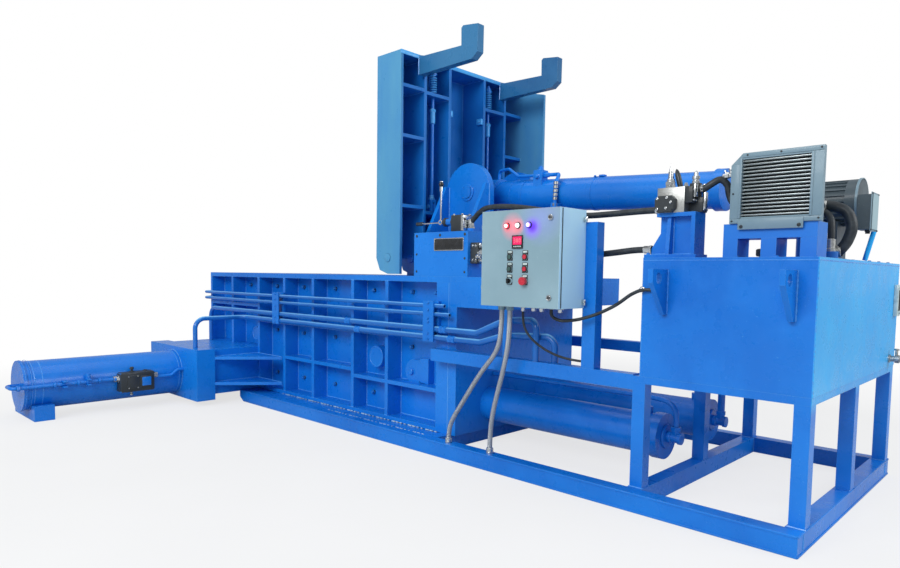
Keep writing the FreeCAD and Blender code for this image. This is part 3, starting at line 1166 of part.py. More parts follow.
    # Pump, bell housing and motor, end to end beyond the lid cylinder's end.
    pump_left = s.lid_cylinder_length - s.trunnion_x + s.pump_gap
    bell_left = pump_left + s.pump_length
    m_left = bell_left + s.bell_length
    m_right = m_left + s.motor_length
    at = (s.motor_y, s.motor_z)
    radius = s.motor_radius
    motor = [rod("x", at, radius, m_left + 24, m_right - 60),
             rod("x", at, radius + s.motor_fin, m_left, m_left + 24),
             rod("x", at, radius + s.motor_fin, m_right - 60, m_right)]
    fin_count = int(number(s.motor_fins))
    fins = []
    for step in range(fin_count):
        fin = Part.makeBox(number(m_right) - 60 - number(m_left) - 24, 5, number(s.motor_fin) + 5)
        fin.translate(FreeCAD.Vector(number(m_left) + 24, -2.5, number(radius) - 5))
        fin.rotate(FreeCAD.Vector(), FreeCAD.Vector(1, 0, 0), 360 / fin_count * step)
        fin.translate(FreeCAD.Vector(0, number(s.motor_y), number(s.motor_z)))
        fins.append(fixed(fin))
    foot_low = s.tank_top
    feet = [box(m_left + 60, m_left + 100, s.motor_y - 95, s.motor_y + 95, foot_low, s.motor_z - radius + 12),
            box(m_right - 130, m_right - 90, s.motor_y - 95, s.motor_y + 95, foot_low,
                s.motor_z - radius + 12)]
    terminal_left = m_right + s.terminal_gap - s.terminal_depth / 2
    terminal = box(terminal_left, terminal_left + s.terminal_depth, s.terminal_y - s.terminal_side / 2,
                   s.terminal_y + s.terminal_side / 2, s.terminal_low, s.terminal_high)
    bridge = box(m_right - 10, terminal_left + 5, s.terminal_y, s.terminal_y + s.terminal_side / 2,
                 s.terminal_low + 16, s.terminal_high - 34)
    node("pump_motor", fuse(*motor, *fins, *feet, terminal, bridge))

    node("hydraulic_pump",
         fuse(rod("x", at, s.bell_radius, bell_left, m_left),
              rod("x", at, s.pump_radius, pump_left, bell_left),
              rod("y", (pump_left + 60, s.motor_z), 30, s.motor_y - s.pump_radius - 40, s.motor_y)),
         fuse(rod("z", (-s.boost_x, -s.boost_y), s.boost_radius, s.tank_top, s.boost_top - s.boost_block),
              box(-s.boost_x - s.boost_radius * 0.7, -s.boost_x + s.boost_radius * 0.7,
                  -s.boost_y - s.boost_radius, -s.boost_y + s.boost_radius, s.boost_top - s.boost_block,
                  s.boost_top)),
         fuse(rod("z", (-s.port_x, -s.port_y), s.suction_radius * 1.3, s.tank_top, s.tank_top + 40),
              box(-s.inlet_x, -s.inlet_x + 50, -s.boost_y - 32, -s.boost_y + 32, s.tank_top,
                  s.tank_top + 80)))


# ---------------------------------------------------------------- hoses and cables
def hoses():
    web = -(s.manifold_front + s.manifold_back) / 2
    housing_port = s.port_length - s.housing_right + 40
    port_y = -s.lever_y
    boost_right = -s.boost_x + s.boost_radius * 0.7
    inlet_z = s.tank_top + 44
    stand_left = -s.manifold_left - s.stand_toe
    valve_right = -s.manifold_right + s.valve_step
    hood_left = -s.cooler_left + s.cooler_side - 16
    node(
        "hydraulic_hoses",
        tube("pressure hose", [
            (-s.manifold_left, web, 1546), (-880, web, 1546), (-1040, -626, 1540), (-1210, -636, 1535),
            (-1380, -644, 1558), (-1550, -648, 1592), (-1720, -648, 1618), (-1870, -644, 1628),
            (-1970, -640, 1624), (-2048, port_y, 1590), (-s.hose_port_x, port_y, 1540),
            (-s.hose_port_x, port_y, s.housing_top + 20)], s.hose_radius),
        tube("return hose", [
            (stand_left, web, 1340), (-900, web, 1340), (-1060, -630, 1322), (-1230, -640, 1308),
            (-1400, -648, 1298), (-1570, -652, 1290), (-1730, -648, 1304), (-1850, port_y - 22, s.port_z),
            (housing_port, port_y - 22, s.port_z)], s.hose_radius),
        tube("cooler hose", [
            (valve_right, -610, 1640), (-542, -610, 1640), (-506, -604, 1664), (-470, -588, 1688),
            (-442, -568, 1656), (-438, -558, 1608), (-424, -556, 1572), (-396, -556, 1560),
            (hood_left, -556, 1560)], s.hose_radius),
        tube("suction hose", [
            (boost_right, -s.boost_y, 1562), (-70, -s.boost_y, 1562), (0, -s.boost_y, 1530),
            (24, -s.boost_y, 1450), (0, -s.boost_y, 1376), (-30, -s.boost_y, inlet_z),
            (-s.inlet_x + 50, -s.boost_y, inlet_z)], s.suction_radius),
        tube("tank hose", [
            (boost_right, -226, 1530), (-92, -226, 1530), (-60, -240, 1494), (-s.port_x, -s.port_y, 1430),
            (-s.port_x, -s.port_y, s.tank_top + 40)], s.hose_radius),
        tube("valve cable", [
            (-1250, -s.gland_y, s.cabinet_low), (-1250, -s.gland_y, 972), (-1205, -880, 948),
            (-1120, -850, 955), (-1010, -825, 990), (-900, -812, 1045), (-820, -808, 1105),
            (-s.tank_left + 6, -s.stand_front - 22, 1130), (-s.tank_left + 60, -s.stand_front - 9, 1131)], 9),
    )


def conduits():
    low = s.cabinet_low - s.gland_height
    x, y, radius = CABLE_EXITS[0]
    node("conduit_left", tube("conduit_left", [
        (x, y, low), (x, y, low - 120), (-1640, -880, 740), (-1760, -868, 620), (-1870, -852, 490),
        (-1960, -842, 370), (-2040, -838, 265), (-2075, -838, 180), (-2075, -838, s.rail_height)], radius))
    x, y, radius = CABLE_EXITS[1]
    node("conduit_right", tube("conduit_right", [
        (x, y, low), (x, y, low - 120), (-1560, -890, 740), (-1604, -874, 610), (-1655, -857, 480),
        (-1700, -844, 350), (-1722, -838, 225), (-1722, -838, s.rail_height)], radius))
    x, y, radius = CABLE_EXITS[2]
    entry_y = -s.stand_front + 28
    node("control_cable", tube("control_cable", [
        (x, y, low), (x, y, low - 70), (-1418, -878, 852), (-1355, -846, 790), (-1275, -806, 745),
        (-1200, entry_y, 722), (-s.post_right_x - s.post_right_width, entry_y, 722)], radius))


for build_step in (skid, stand, tank, press_box, main_press, side_press, gate, lid, lid_drive, housing, pipes,
                   cabinet, power_pack, hoses, conduits):
    build_step()
doc.recompute()

for item in doc.Objects:
    if "Invalid" in item.State or "Error" in item.State:
        raise RuntimeError(f"{item.Name} failed: {item.State}")
for item in nodes:
    if item.Shape.isNull() or not item.Shape.isValid():
        raise RuntimeError(f"{item.Label} has no valid shape")

os.makedirs("parts", exist_ok=True)
for item in nodes:
    item.Shape.exportStep(os.path.join("parts", f"{item.Label}.step"))
print(f"{len(nodes)} nodes written")
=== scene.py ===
import json
import math
import random

import bmesh
import bpy
from mathutils import Matrix, Vector


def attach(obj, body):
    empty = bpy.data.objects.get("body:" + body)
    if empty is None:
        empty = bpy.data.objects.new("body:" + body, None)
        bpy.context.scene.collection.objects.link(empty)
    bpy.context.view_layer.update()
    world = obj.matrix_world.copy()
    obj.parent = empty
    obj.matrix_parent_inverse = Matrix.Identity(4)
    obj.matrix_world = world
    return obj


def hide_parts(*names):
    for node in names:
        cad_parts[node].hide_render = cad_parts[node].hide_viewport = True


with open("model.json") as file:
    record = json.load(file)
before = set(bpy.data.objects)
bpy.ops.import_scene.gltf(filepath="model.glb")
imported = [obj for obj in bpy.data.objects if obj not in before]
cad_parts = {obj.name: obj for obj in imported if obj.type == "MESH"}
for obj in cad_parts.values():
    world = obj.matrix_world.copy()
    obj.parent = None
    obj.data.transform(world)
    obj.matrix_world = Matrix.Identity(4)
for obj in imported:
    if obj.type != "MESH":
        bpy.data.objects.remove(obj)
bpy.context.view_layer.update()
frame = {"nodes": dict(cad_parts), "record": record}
NODES = frame["nodes"]
MM = 0.001


# ---- camera
CAMERA_PLACE = (0.8691, -3.9010, 1.1998)
CAMERA_ANGLES = (44.017, 3.95, 0.8007)
CAMERA_LENS = 26.444
CAMERA_SHIFT = (0.0017, 0.0389)


def make_camera():
    """The photograph's viewpoint; its angles are yaw, downward pitch and roll in degrees."""
    yaw, pitch, roll = (math.radians(angle) for angle in CAMERA_ANGLES)
    forward = Vector((-math.sin(yaw) * math.cos(pitch), math.cos(yaw) * math.cos(pitch), -math.sin(pitch)))
    level = forward.cross(Vector((0, 0, 1))).normalized()
    upright = level.cross(forward)
    right = level * math.cos(roll) + upright * math.sin(roll)
    top = upright * math.cos(roll) - level * math.sin(roll)
    data = bpy.data.cameras.new("camera")
    data.sensor_width = 36
    data.lens = CAMERA_LENS
    data.shift_x, data.shift_y = CAMERA_SHIFT
    data.clip_end = 200
    camera = bpy.data.objects.new("camera", data)
    bpy.context.scene.collection.objects.link(camera)
    turn = Matrix((right, top, -forward)).transposed().to_4x4()
    camera.matrix_world = Matrix.Translation(CAMERA_PLACE) @ turn
    bpy.context.scene.camera = camera


# ---- shader helpers
def linear(red, green, blue):
    """A colour given as 0..255 screen values, as the shader wants it."""
    shares = (red / 255, green / 255, blue / 255)
    return tuple(c / 12.92 if c <= 0.04045 else ((c + 0.055) / 1.055) ** 2.4 for c in shares) + (1,)


class Paint:
    """A node material under construction, with short calls for the nodes used here."""

    def __init__(self, name, metallic=0.0, coat=0.0, coat_roughness=0.1):
        self.material = bpy.data.materials.new(name)
        self.material.use_nodes = True
        self.tree = self.material.node_tree
        self.shader = self.tree.nodes["Principled BSDF"]
        self.fill(self.shader, {"Metallic": metallic, "Coat Weight": coat, "Coat Roughness": coat_roughness})
        self.place = self.new("ShaderNodeTexCoord").outputs["Object"]

    def fill(self, node, inputs):
        """Sets each named input of a node to a value, or links it to another node's output."""
        for name, value in inputs.items():
            if isinstance(value, bpy.types.NodeSocket):
                self.tree.links.new(value, node.inputs[name])
            elif value is not None:
                node.inputs[name].default_value = value

    def new(self, kind, inputs=None, **settings):
        made = self.tree.nodes.new(kind)
        for key, value in settings.items():
            setattr(made, key, value)
        self.fill(made, inputs or {})
        return made

    def stretched(self, x, y, z):
        return self.new("ShaderNodeMapping", {"Vector": self.place, "Scale": (x, y, z)}).outputs["Vector"]

    def noise(self, scale, detail=3.0, roughness=0.55, where=None):
        return self.new("ShaderNodeTexNoise", {
            "Vector": where or self.place, "Scale": scale, "Detail": detail, "Roughness": roughness,
        }).outputs["Fac"]

    def wave(self, scale, where):
        inputs = {"Vector": where, "Scale": scale, "Distortion": 0.5}
        return self.new("ShaderNodeTexWave", inputs, bands_direction="DIAGONAL").outputs["Fac"]

    def facing(self):
        return self.new("ShaderNodeNewGeometry").outputs["Normal"]

    def along(self, axis, vector=None):
        """The X, Y or Z share of a vector, or of the place on the object in metres."""
        return self.new("ShaderNodeSeparateXYZ", {0: vector or self.place}).outputs[axis]

    def span(self, value, low, high, out_low=0.0, out_high=1.0):
        return self.new("ShaderNodeMapRange", {
            "Value": value, "From Min": low, "From Max": high, "To Min": out_low, "To Max": out_high,
        }).outputs["Result"]

    def mix(self, factor, first, second):
        return self.new("ShaderNodeMix", {0: factor, 6: first, 7: second}, data_type="RGBA").outputs[2]

    def math(self, operation, first, second):
        return self.new("ShaderNodeMath", {0: first, 1: second}, operation=operation).outputs[0]

    def rounded(self, radius):
        return self.new("ShaderNodeBevel", {"Radius": radius}, samples=4).outputs["Normal"]

    def edge(self, radius):
        """1 on outer and inner edges within radius, 0 on the faces."""
        inputs = {0: self.rounded(radius), 1: self.facing()}
        dot = self.new("ShaderNodeVectorMath", inputs, operation="DOT_PRODUCT").outputs["Value"]
        return self.span(self.math("SUBTRACT", 1.0, dot), 0.02, 0.25)

    def bumped(self, height, strength, distance, normal=None):
        return self.new("ShaderNodeBump", {
            "Height": height, "Strength": strength, "Distance": distance, "Normal": normal,
        }).outputs["Normal"]

    def done(self, colour, roughness, normal=None):
        self.fill(self.shader, {"Base Color": colour, "Roughness": roughness, "Normal": normal})
        return self.material


# ---- colour zones of the paints: two-tone paint, painted light and painted reflection
def painted_lit_end(paint, colour):
    """Painted light: the tank's end towards +X, over the skid, is painted paler cyan where the side light
    falls on it, broken up by a noise cloud.
    """
    share = paint.math("MULTIPLY", paint.span(paint.along("X"), 0.036, 0.041),
                       paint.span(paint.along("Z"), 0.60, 0.66))
    cloud = paint.span(paint.noise(2.2, 4), 0.35, 0.7, 0.75, 1)
    return paint.mix(paint.math("MULTIPLY", share, cloud), colour, linear(34, 176, 244))


def blue_stand(paint, colour):
    """The cooler's stand is sprayed in the machine's blue up to the grey cooler."""
    return paint.mix(paint.span(paint.along("Z"), 1.4572, 1.4568), colour, linear(18, 116, 208))


def terminal_face(paint, colour):
    """The terminal box has a pale lid on a dark body."""
    return paint.mix(paint.span(paint.along("X"), 0.0705, 0.0712), colour, linear(150, 178, 186))


def painted_sky_reflection(paint, colour):
    """Painted reflection: the lid's outermost ribs, facing -Y, are painted teal in streaks as if they
    mirrored the bright surroundings.
    """
    outer = paint.math("MAXIMUM", paint.span(paint.along("Y"), -0.66, -0.69),
                       paint.span(paint.along("Y"), 0.686, 0.692))
    streaks = paint.span(paint.noise(5.0, 4, where=paint.stretched(1, 1, 0.25)), 0.3, 0.7, 0.55, 1)
    return paint.mix(paint.math("MULTIPLY", outer, streaks), colour, linear(82, 152, 190))


def painted_pipe_highlight(paint, colour):
    """Painted highlight: the pipes' upward-facing sides are painted paler, standing for light from above."""
    upward = paint.along("Z", paint.facing())
    return paint.mix(paint.span(upward, 0.5, 0.95), colour, linear(130, 205, 250))


LAMP_GLOWS = (  # centre X and Z, reach and colour of the painted lamp glows; each lies over the ones before it
    (-1.235, 1.500, 0.160, (138, 158, 214)), (-1.425, 1.460, 0.085, (246, 150, 166)),
    (-1.461, 1.466, 0.040, (255, 120, 130)), (-1.390, 1.462, 0.048, (255, 140, 150)),
    (-1.290, 1.448, 0.070, (150, 110, 255)), (-1.290, 1.456, 0.040, (104, 50, 236)))


def painted_end_light_and_glow(paint, colour):
    """Painted light: the cabinet's +X end is painted paler where the side light falls, and the signal lamps'
    light on its door is painted as rose, pale and violet glows.
    """
    glow = paint.mix(paint.span(paint.along("X"), -1.1138, -1.1128), colour, linear(184, 226, 244))
    for x, z, reach, tint in LAMP_GLOWS:
        away = paint.new("ShaderNodeVectorMath", {0: paint.place, 1: (x, -1.03, z)}, operation="DISTANCE")
        share = paint.span(away.outputs["Value"], 0.012, reach, 0.85, 0)
        glow = paint.mix(share, glow, linear(*tint))
    return glow


# ---- materials
ENAMELS = {  # deep, plain and edge colour (partly wear, partly painted highlight), share of that edge colour, roughness range, edge radius in mm, colour zone (two-tone paint on some, painted light on others)
    # zones: painted light on the tank's end, painted reflection on the lid's ribs, painted highlight on the
    # pipes' tops, painted light and lamp glow on the cabinet
    "blue_paint": ((6, 104, 198), (18, 126, 222), (112, 190, 240), 0.5, (0.22, 0.4), 3, painted_lit_end),
    "blue_worn": ((14, 100, 180), (28, 122, 206), (112, 190, 240), 0.7, (0.26, 0.5), 3, painted_sky_reflection),
    "blue_light": ((52, 150, 224), (80, 176, 238), (170, 220, 250), 0.5, (0.22, 0.4), 3, None),
    "horn_blue": ((26, 88, 140), (52, 116, 162), (120, 170, 200), 0.5, (0.22, 0.4), 3, None),
    "pipe_blue": ((18, 84, 164), (36, 116, 200), (150, 206, 250), 0.5, (0.14, 0.26), 3, painted_pipe_highlight),
    "weld_blue": ((40, 120, 212), (92, 170, 235), (190, 225, 250), 0.6, (0.15, 0.35), 1, None),
    "weld_pale": ((96, 150, 200), (190, 214, 226), (220, 232, 240), 0.6, (0.22, 0.4), 3, None),
    "cabinet_paint": ((126, 156, 168), (144, 174, 186), (206, 222, 228), 0.4, (0.35, 0.5), 3, painted_end_light_and_glow),
    "cooler_paint": ((112, 138, 152), (134, 160, 172), (176, 196, 198), 0.4, (0.35, 0.5), 3, blue_stand),
    "cooler_hood": ((112, 138, 152), (134, 160, 172), (176, 196, 198), 0.4, (0.35, 0.5), 3, None),
    "motor_paint": ((64, 78, 86), (92, 106, 112), (150, 165, 172), 0.4, (0.35, 0.55), 3, terminal_face),
    "valve_black": ((34, 40, 44), (56, 62, 66), (120, 128, 132), 0.4, (0.35, 0.55), 2, None),
}
METALS = {  # dark and light colour, roughness range, stretch of the grain, share of rust stains
    "raw_steel": ((92, 92, 94), (150, 150, 152), (0.35, 0.6), (1, 1, 30), 0.6),
    "rod_chrome": ((190, 192, 196), (228, 230, 232), (0.06, 0.16), (1, 1, 30), 0),
    "valve_steel": ((150, 152, 150), (196, 198, 196), (0.3, 0.5), (1, 1, 8), 0.12),
    "fitting_steel": ((178, 182, 184), (222, 225, 226), (0.14, 0.3), (1, 1, 30), 0),
    "alu_fins": ((120, 134, 136), (176, 188, 190), (0.35, 0.55), (1, 40, 40), 0),
    "alu_light": ((168, 180, 182), (206, 214, 216), (0.3, 0.5), (1, 40, 40), 0),
}
PLASTICS = {  # deep and plain colour, roughness range
    "black_plastic": ((20, 21, 23), (36, 38, 41), (0.2, 0.38)),
    "button_green": ((40, 66, 64), (62, 92, 88), (0.2, 0.38)),
    "button_red": ((178, 28, 46), (206, 50, 70), (0.2, 0.38)),
    "gauge_plastic": ((170, 190, 190), (205, 220, 218), (0.2, 0.38)),
    "dark_slot": ((10, 14, 18), (20, 26, 32), (0.5, 0.7)),
}
GLOWS = {  # colour, strength
    "lamp_white": ((255, 252, 245), 1.6),
    "lamp_red": ((255, 40, 60), 4.0),
    "lamp_blue": ((90, 60, 255), 5.0),
    "digit_red": ((255, 90, 90), 2.0),
    "meter_glow": ((214, 30, 84), 0.6),
}


def enamel(name, deep, plain, edge_colour, edge_share, roughness, radius, two_tone_and_painted_light):
    """Sprayed gloss enamel: broad tone changes, orange peel, dust specks, paler edges that are partly wear
    and partly a painted highlight, and where given a colour zone of two-tone paint or painted light.
    """
    paint = Paint(name, coat=0.16, coat_roughness=0.12)
    paint.fill(paint.shader, {"Specular IOR Level": 0.32})
    tone = paint.span(paint.noise(0.9, 4), 0.35, 0.65)
    colour = paint.mix(tone, linear(*deep), linear(*plain))
    blotch = paint.span(paint.noise(7.0, 5, 0.65), 0.5, 0.72, 0, 0.35)
    colour = paint.mix(blotch, colour, linear(*plain))
    if two_tone_and_painted_light:
        colour = two_tone_and_painted_light(paint, colour)
    speck = paint.span(paint.noise(160.0, 2), 0.71, 0.76, 0, 0.5)
    colour = paint.mix(speck, colour, linear(*edge_colour))
    # paler edges: partly wear, partly a painted highlight along the edges
    worn_and_highlit_edge = paint.math("MULTIPLY", paint.edge(radius * MM), edge_share)
    colour = paint.mix(worn_and_highlit_edge, colour, linear(*edge_colour))
    gloss = paint.span(paint.noise(14.0, 4), 0.3, 0.7, *roughness)
    peel = paint.bumped(paint.noise(260.0, 2), 0.12, 0.6 * MM, paint.rounded(radius * MM))
    normal = paint.bumped(paint.noise(11.0, 3), 0.10, 4 * MM, peel)
    return paint.done(colour, gloss, normal)


def bare_metal(name, dark, light, roughness, grain, rust):
    """Brushed metal with a directed grain, stained by rust where asked."""
    paint = Paint(name, metallic=1.0)
    brushed = paint.noise(60.0, 3, where=paint.stretched(*grain))
    colour = paint.mix(paint.span(brushed, 0.3, 0.7), linear(*dark), linear(*light))
    if rust:
        stain = paint.span(paint.noise(9.0, 6, 0.7), 0.5, 0.7, 0, rust)
        colour = paint.mix(stain, colour, linear(96, 62, 38))
    gloss = paint.span(paint.noise(22.0, 4), 0.3, 0.7, *roughness)
    return paint.done(colour, gloss, paint.bumped(brushed, 0.15, 0.2 * MM, paint.rounded(1.5 * MM)))


def plastic(name, deep, plain, roughness):
    """Moulded plastic with a faint peel."""
    paint = Paint(name, coat=0.2)
    colour = paint.mix(paint.span(paint.noise(25.0, 3), 0.35, 0.7), linear(*deep), linear(*plain))
    gloss = paint.span(paint.noise(40.0, 3), 0.3, 0.7, *roughness)
    return paint.done(colour, gloss, paint.bumped(paint.noise(500.0, 2), 0.06, 0.3 * MM,
                                                  paint.rounded(0.8 * MM)))


def glowing(name, tint, strength):
    """A lit lens or figure."""
    paint = Paint(name)
    colour = linear(*tint)
    shine = paint.mix(paint.span(paint.noise(90.0, 2), 0.3, 0.7), colour,
                      tuple(min(c * 1.2, 1) for c in colour))
    paint.fill(paint.shader, {"Emission Color": shine, "Emission Strength": strength})
    return paint.done(shine, 0.2)


def rubber():
    """Matt black hose rubber with a fine grain."""
    paint = Paint("black_rubber")
    colour = paint.mix(paint.span(paint.noise(30.0, 4), 0.4, 0.7), linear(24, 32, 38), linear(46, 56, 62))
    gloss = paint.span(paint.noise(18.0, 3), 0.3, 0.7, 0.38, 0.62)
    return paint.done(colour, gloss, paint.bumped(paint.noise(220.0, 2), 0.3, 0.3 * MM))


def braid():
    """Silver wire braid over a flexible conduit: two crossing sets of strands."""
    paint = Paint("braid_steel", metallic=0.85)
    strands = paint.math("MAXIMUM", paint.wave(95.0, paint.stretched(1, 1, 1)),
                         paint.wave(95.0, paint.stretched(-1, -1, 1)))
    colour = paint.mix(paint.span(strands, 0.2, 0.8), linear(74, 80, 86), linear(205, 210, 214))
    gloss = paint.span(paint.noise(30.0, 3), 0.3, 0.7, 0.28, 0.5)
    return paint.done(colour, gloss, paint.bumped(strands, 0.8, 1.2 * MM))


def make_materials():
    made = {"black_rubber": rubber(), "braid_steel": braid()}
    for maker, rows in ((enamel, ENAMELS), (bare_metal, METALS), (plastic, PLASTICS), (glowing, GLOWS)):
        for name, values in rows.items():
            made[name] = maker(name, *values)
    return made


OWN_PAINT = {"lid_horns": "horn_blue", "lid_springs": "blue_light", "lower_pipes": "pipe_blue",
             "upper_pipes": "pipe_blue"}


def dress_nodes():
    """Paints each CAD node in its slot's material, or in its own shade of it."""
    for item in frame["record"]["subparts"]:
        target = NODES[item["node"]]
        paint = MATERIALS.get(OWN_PAINT.get(item["node"], item["material_slot"]), MATERIALS["gauge_plastic"])
        target.data.materials.clear()
        target.data.materials.append(paint)


# ---- mesh helpers
LEFT, RIGHT, FRONT, BACK, DOWN, UP = (-1, 0, 0), (1, 0, 0), (0, -1, 0), (0, 1, 0), (0, 0, -1), (0, 0, 1)
BEAD_PITCH = 11.0
BEAD_SIDES = 5
SMOOTH_BELOW = math.radians(35)


class Mesh:
    """Collects simple forms, in millimetres of the row frame, into one smooth-shaded piece."""

    def __init__(self):
        self.work = bmesh.new()

    def block(self, x0, x1, y0, y1, z0, z1, bevel=0.0):
        made = bmesh.ops.create_cube(self.work, size=1)["verts"]
        centre = Vector(((x0 + x1) / 2, (y0 + y1) / 2, (z0 + z1) / 2))
        for vert in made:
            vert.co = Vector((vert.co.x * (x1 - x0), vert.co.y * (y1 - y0), vert.co.z * (z1 - z0))) + centre
        if bevel:
            edges = list(dict.fromkeys(edge for vert in made for edge in vert.link_edges))
            bmesh.ops.bevel(self.work, geom=edges, offset=bevel, segments=2, affect="EDGES", profile=0.5)

    def ring(self, middle, across, other, radius, sides):
        """Points on a circle in the plane of two unit vectors."""
        turns = (2 * math.pi * k / sides for k in range(sides))
        return [self.work.verts.new(middle + (across * math.cos(a) + other * math.sin(a)) * radius)
                for a in turns]

    def turned(self, centre, axis, profile, sides=24):
        """A turned form: profile is (distance along the axis, radius), closed at radius 0."""
        axis = Vector(axis).normalized()
        across = axis.orthogonal().normalized()
        other = axis.cross(across)
        rings = []
        for along, radius in profile:
            middle = Vector(centre) + axis * along
            if radius <= 0:
                rings.append([self.work.verts.new(middle)])
                continue
            rings.append(self.ring(middle, across, other, radius, sides))
        for first, second in zip(rings, rings[1:]):
            count = max(len(first), len(second))
            for k in range(count):
                corners = [first[k % len(first)], first[(k + 1) % len(first)], second[(k + 1) % len(second)],
                           second[k % len(second)]]
                self.work.faces.new(list(dict.fromkeys(corners)))

    def bolt(self, centre, axis, size, height=None):
        """A hexagon head on a thin round washer, standing on its centre."""
        tall = height or size * 0.45
        self.turned(centre, axis, [
            (0, 0), (0, size * 0.68), (tall * 0.2, size * 0.68), (tall * 0.2, size * 0.55)], 20)
        self.turned(centre, axis, [(tall * 0.2, size * 0.55), (tall * 0.9, size * 0.55), (tall, size * 0.46),
                                   (tall, 0)], 6)

    def bead(self, points, radius, seed):
        """A rippled weld bead along a run of points."""
        rng = random.Random(seed)
        route = []
        for start, end in zip(points, points[1:]):
            start, end = Vector(start), Vector(end)
            count = max(2, int((end - start).length / BEAD_PITCH))
            route += [start.lerp(end, k / count) for k in range(count)]
        route.append(Vector(points[-1]))
        previous = None
        for k, point in enumerate(route):
            ahead = route[min(k + 1, len(route) - 1)] - route[max(k - 1, 0)]
            side = ahead.orthogonal().normalized()
            other = ahead.cross(side).normalized()
            swell = radius * (0.8 + 0.35 * rng.random()) * (0.85 if k % 2 else 1.1)
            ring = self.ring(point, side, other, swell, BEAD_SIDES)
            if previous:
                self.bridge(previous, ring)
            previous = ring

    def bridge(self, first, second):
        """Four-sided faces between two closed rings of as many points."""
        for k in range(len(first)):
            after = (k + 1) % len(first)
            self.work.faces.new([first[k], first[after], second[after], second[k]])

    def slab(self, outline, y0, y1):
        """A flat plate facing along Y, with an outline of (x, z) corners."""
        front, back = ([self.work.verts.new((x, y, z)) for x, z in outline] for y in (y0, y1))
        self.work.faces.new(front)
        self.work.faces.new(back)
        self.bridge(front, back)

    def finish(self, name, material, body="root", replaces=()):
        data = bpy.data.meshes.new(name)
        bmesh.ops.recalc_face_normals(self.work, faces=self.work.faces)
        self.work.to_mesh(data)
        self.work.free()
        data.transform(Matrix.Scale(MM, 4))
        data.materials.append(MATERIALS[material])
        data.polygons.foreach_set("use_smooth", [True] * len(data.polygons))
        data.set_sharp_from_angle(angle=SMOOTH_BELOW)
        piece = bpy.data.objects.new(name, data)
        bpy.context.scene.collection.objects.link(piece)
        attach(piece, body)
        if replaces:
            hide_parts(*replaces)
        return piece


def circle(count, radius, start=0):
    """Places spaced evenly round a circle, from start degrees on."""
    turns = (math.radians(360 / count * k + start) for k in range(count))
    return [(radius * math.cos(a), radius * math.sin(a)) for a in turns]


# ---- cords
POINT_RADIUS = 0.04


def make_tube(name, points, radius, roundness, steps):
    """A round tube along a smooth line pulled by its points, in millimetres of the row frame."""
    curve = bpy.data.curves.new(name, "CURVE")
    curve.dimensions = "3D"
    curve.bevel_depth = radius * MM / POINT_RADIUS
    curve.bevel_resolution = roundness
    curve.resolution_u = steps
    spline = curve.splines.new("NURBS")
    spline.points.add(len(points) - 1)
    for control, place in zip(spline.points, points):
        control.co = (*(value * MM for value in place), 1)
        control.radius = POINT_RADIUS
    spline.order_u = 3
    spline.use_endpoint_u = True
    piece = bpy.data.objects.new(name, curve)
    bpy.context.scene.collection.objects.link(piece)
    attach(piece, "root")
    return piece


def make_cord(name, points, radius):
    piece = make_tube(name + "_line", points, radius, 5, 14)
    piece.data.use_fill_caps = True
    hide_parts(name)
    return piece


def make_cords():
    left = make_cord("conduit_left", [
        (-1600, -895, 992), (-1600, -895, 872), (-1640, -880, 740), (-1760, -868, 620), (-1870, -852, 490),
        (-1960, -842, 370), (-2040, -838, 265), (-2075, -838, 180), (-2075, -838, 100)], 15)
    right = make_cord("conduit_right", [
        (-1540, -895, 992), (-1540, -895, 872), (-1560, -890, 740), (-1604, -874, 610), (-1655, -857, 480),
        (-1700, -844, 350), (-1722, -838, 225), (-1722, -838, 100)], 15)
    cable = make_cord("control_cable", [
        (-1445, -895, 992), (-1445, -895, 922), (-1418, -878, 852), (-1355, -846, 790), (-1275, -806, 745),
        (-1200, -757, 722), (-1121, -757, 722)], 7)
    return {"braid_steel": (left, right), "black_rubber": (cable,)}


# ---- welds
WALL_RIBS = (5653, 5218, 4723, 4285, 3843, 3301, 2889)
WALL_RIB_WIDTH = 34
WALL_FACE = 555
WALL_RIB_REACH = 690
WALL_FOOT, WALL_TOP = 131, 1137
WALL_SHELVES = ((-4689, -4285, 755), (-4251, -3843, 755), (-4251, -3843, 448), (-3809, -3301, 755),
                (-3809, -3301, 448), (-3267, -2889, 755), (-3267, -2889, 400), (-2855, -2347, 400))
TUNNEL_END = 4800
SIDE_CYLINDER_X, SIDE_CYLINDER_Z = -5173, 262
BOX_LEFT = -5650
LID_RIBS = (-692, -458, -198, 203, 464, 696)
LID_RIB_WIDTH = 24
LID_SHELVES = ((-668, -458, (2533, 2176, 1675)), (-434, -198, (2520, 1640)), (-174, 203, (1400,)),
               (227, 464, (2520, 1640)), (488, 696, (2530, 2180)))


def wall_welds():
    """Beads along the ribs and shelves of both walls, but for the rear wall's end where the gate slides."""
    beads = Mesh()
    for side in (-1, 1):
        face = WALL_FACE * side
        out = WALL_RIB_REACH * side
        for k, start in enumerate(WALL_RIBS):
            if side > 0 and start > TUNNEL_END:
                continue
            low = 492 if start > TUNNEL_END else 132
            for x in (-start, WALL_RIB_WIDTH - start):
                if x > BOX_LEFT:
                    beads.bead([(x, face, low), (x, face, WALL_TOP)], 4, k)
            if start < TUNNEL_END:
                beads.bead([(-start, out, WALL_FOOT), (WALL_RIB_WIDTH - start, out, WALL_FOOT)], 4, k)
            beads.bead([(-start, out, WALL_TOP), (WALL_RIB_WIDTH - start, out, WALL_TOP)], 4, k)
        beads.bead([(-4722, face, WALL_FOOT), (-2348, face, WALL_FOOT)], 4, 11)
        beads.bead([(BOX_LEFT if side < 0 else -4689, face, WALL_TOP), (-2348, face, WALL_TOP)], 4, 12)
        beads.bead([(-4720, face, 101), (-2220, face, 101)], 3, 13)
        for k, (x0, x1, z) in enumerate(WALL_SHELVES):
            beads.bead([(x0, out, z - 28), (x0, face, z), (x1, face, z), (x1, out, z)], 3.5, 20 + k)
    beads.finish("wall_weld_beads", "weld_blue")


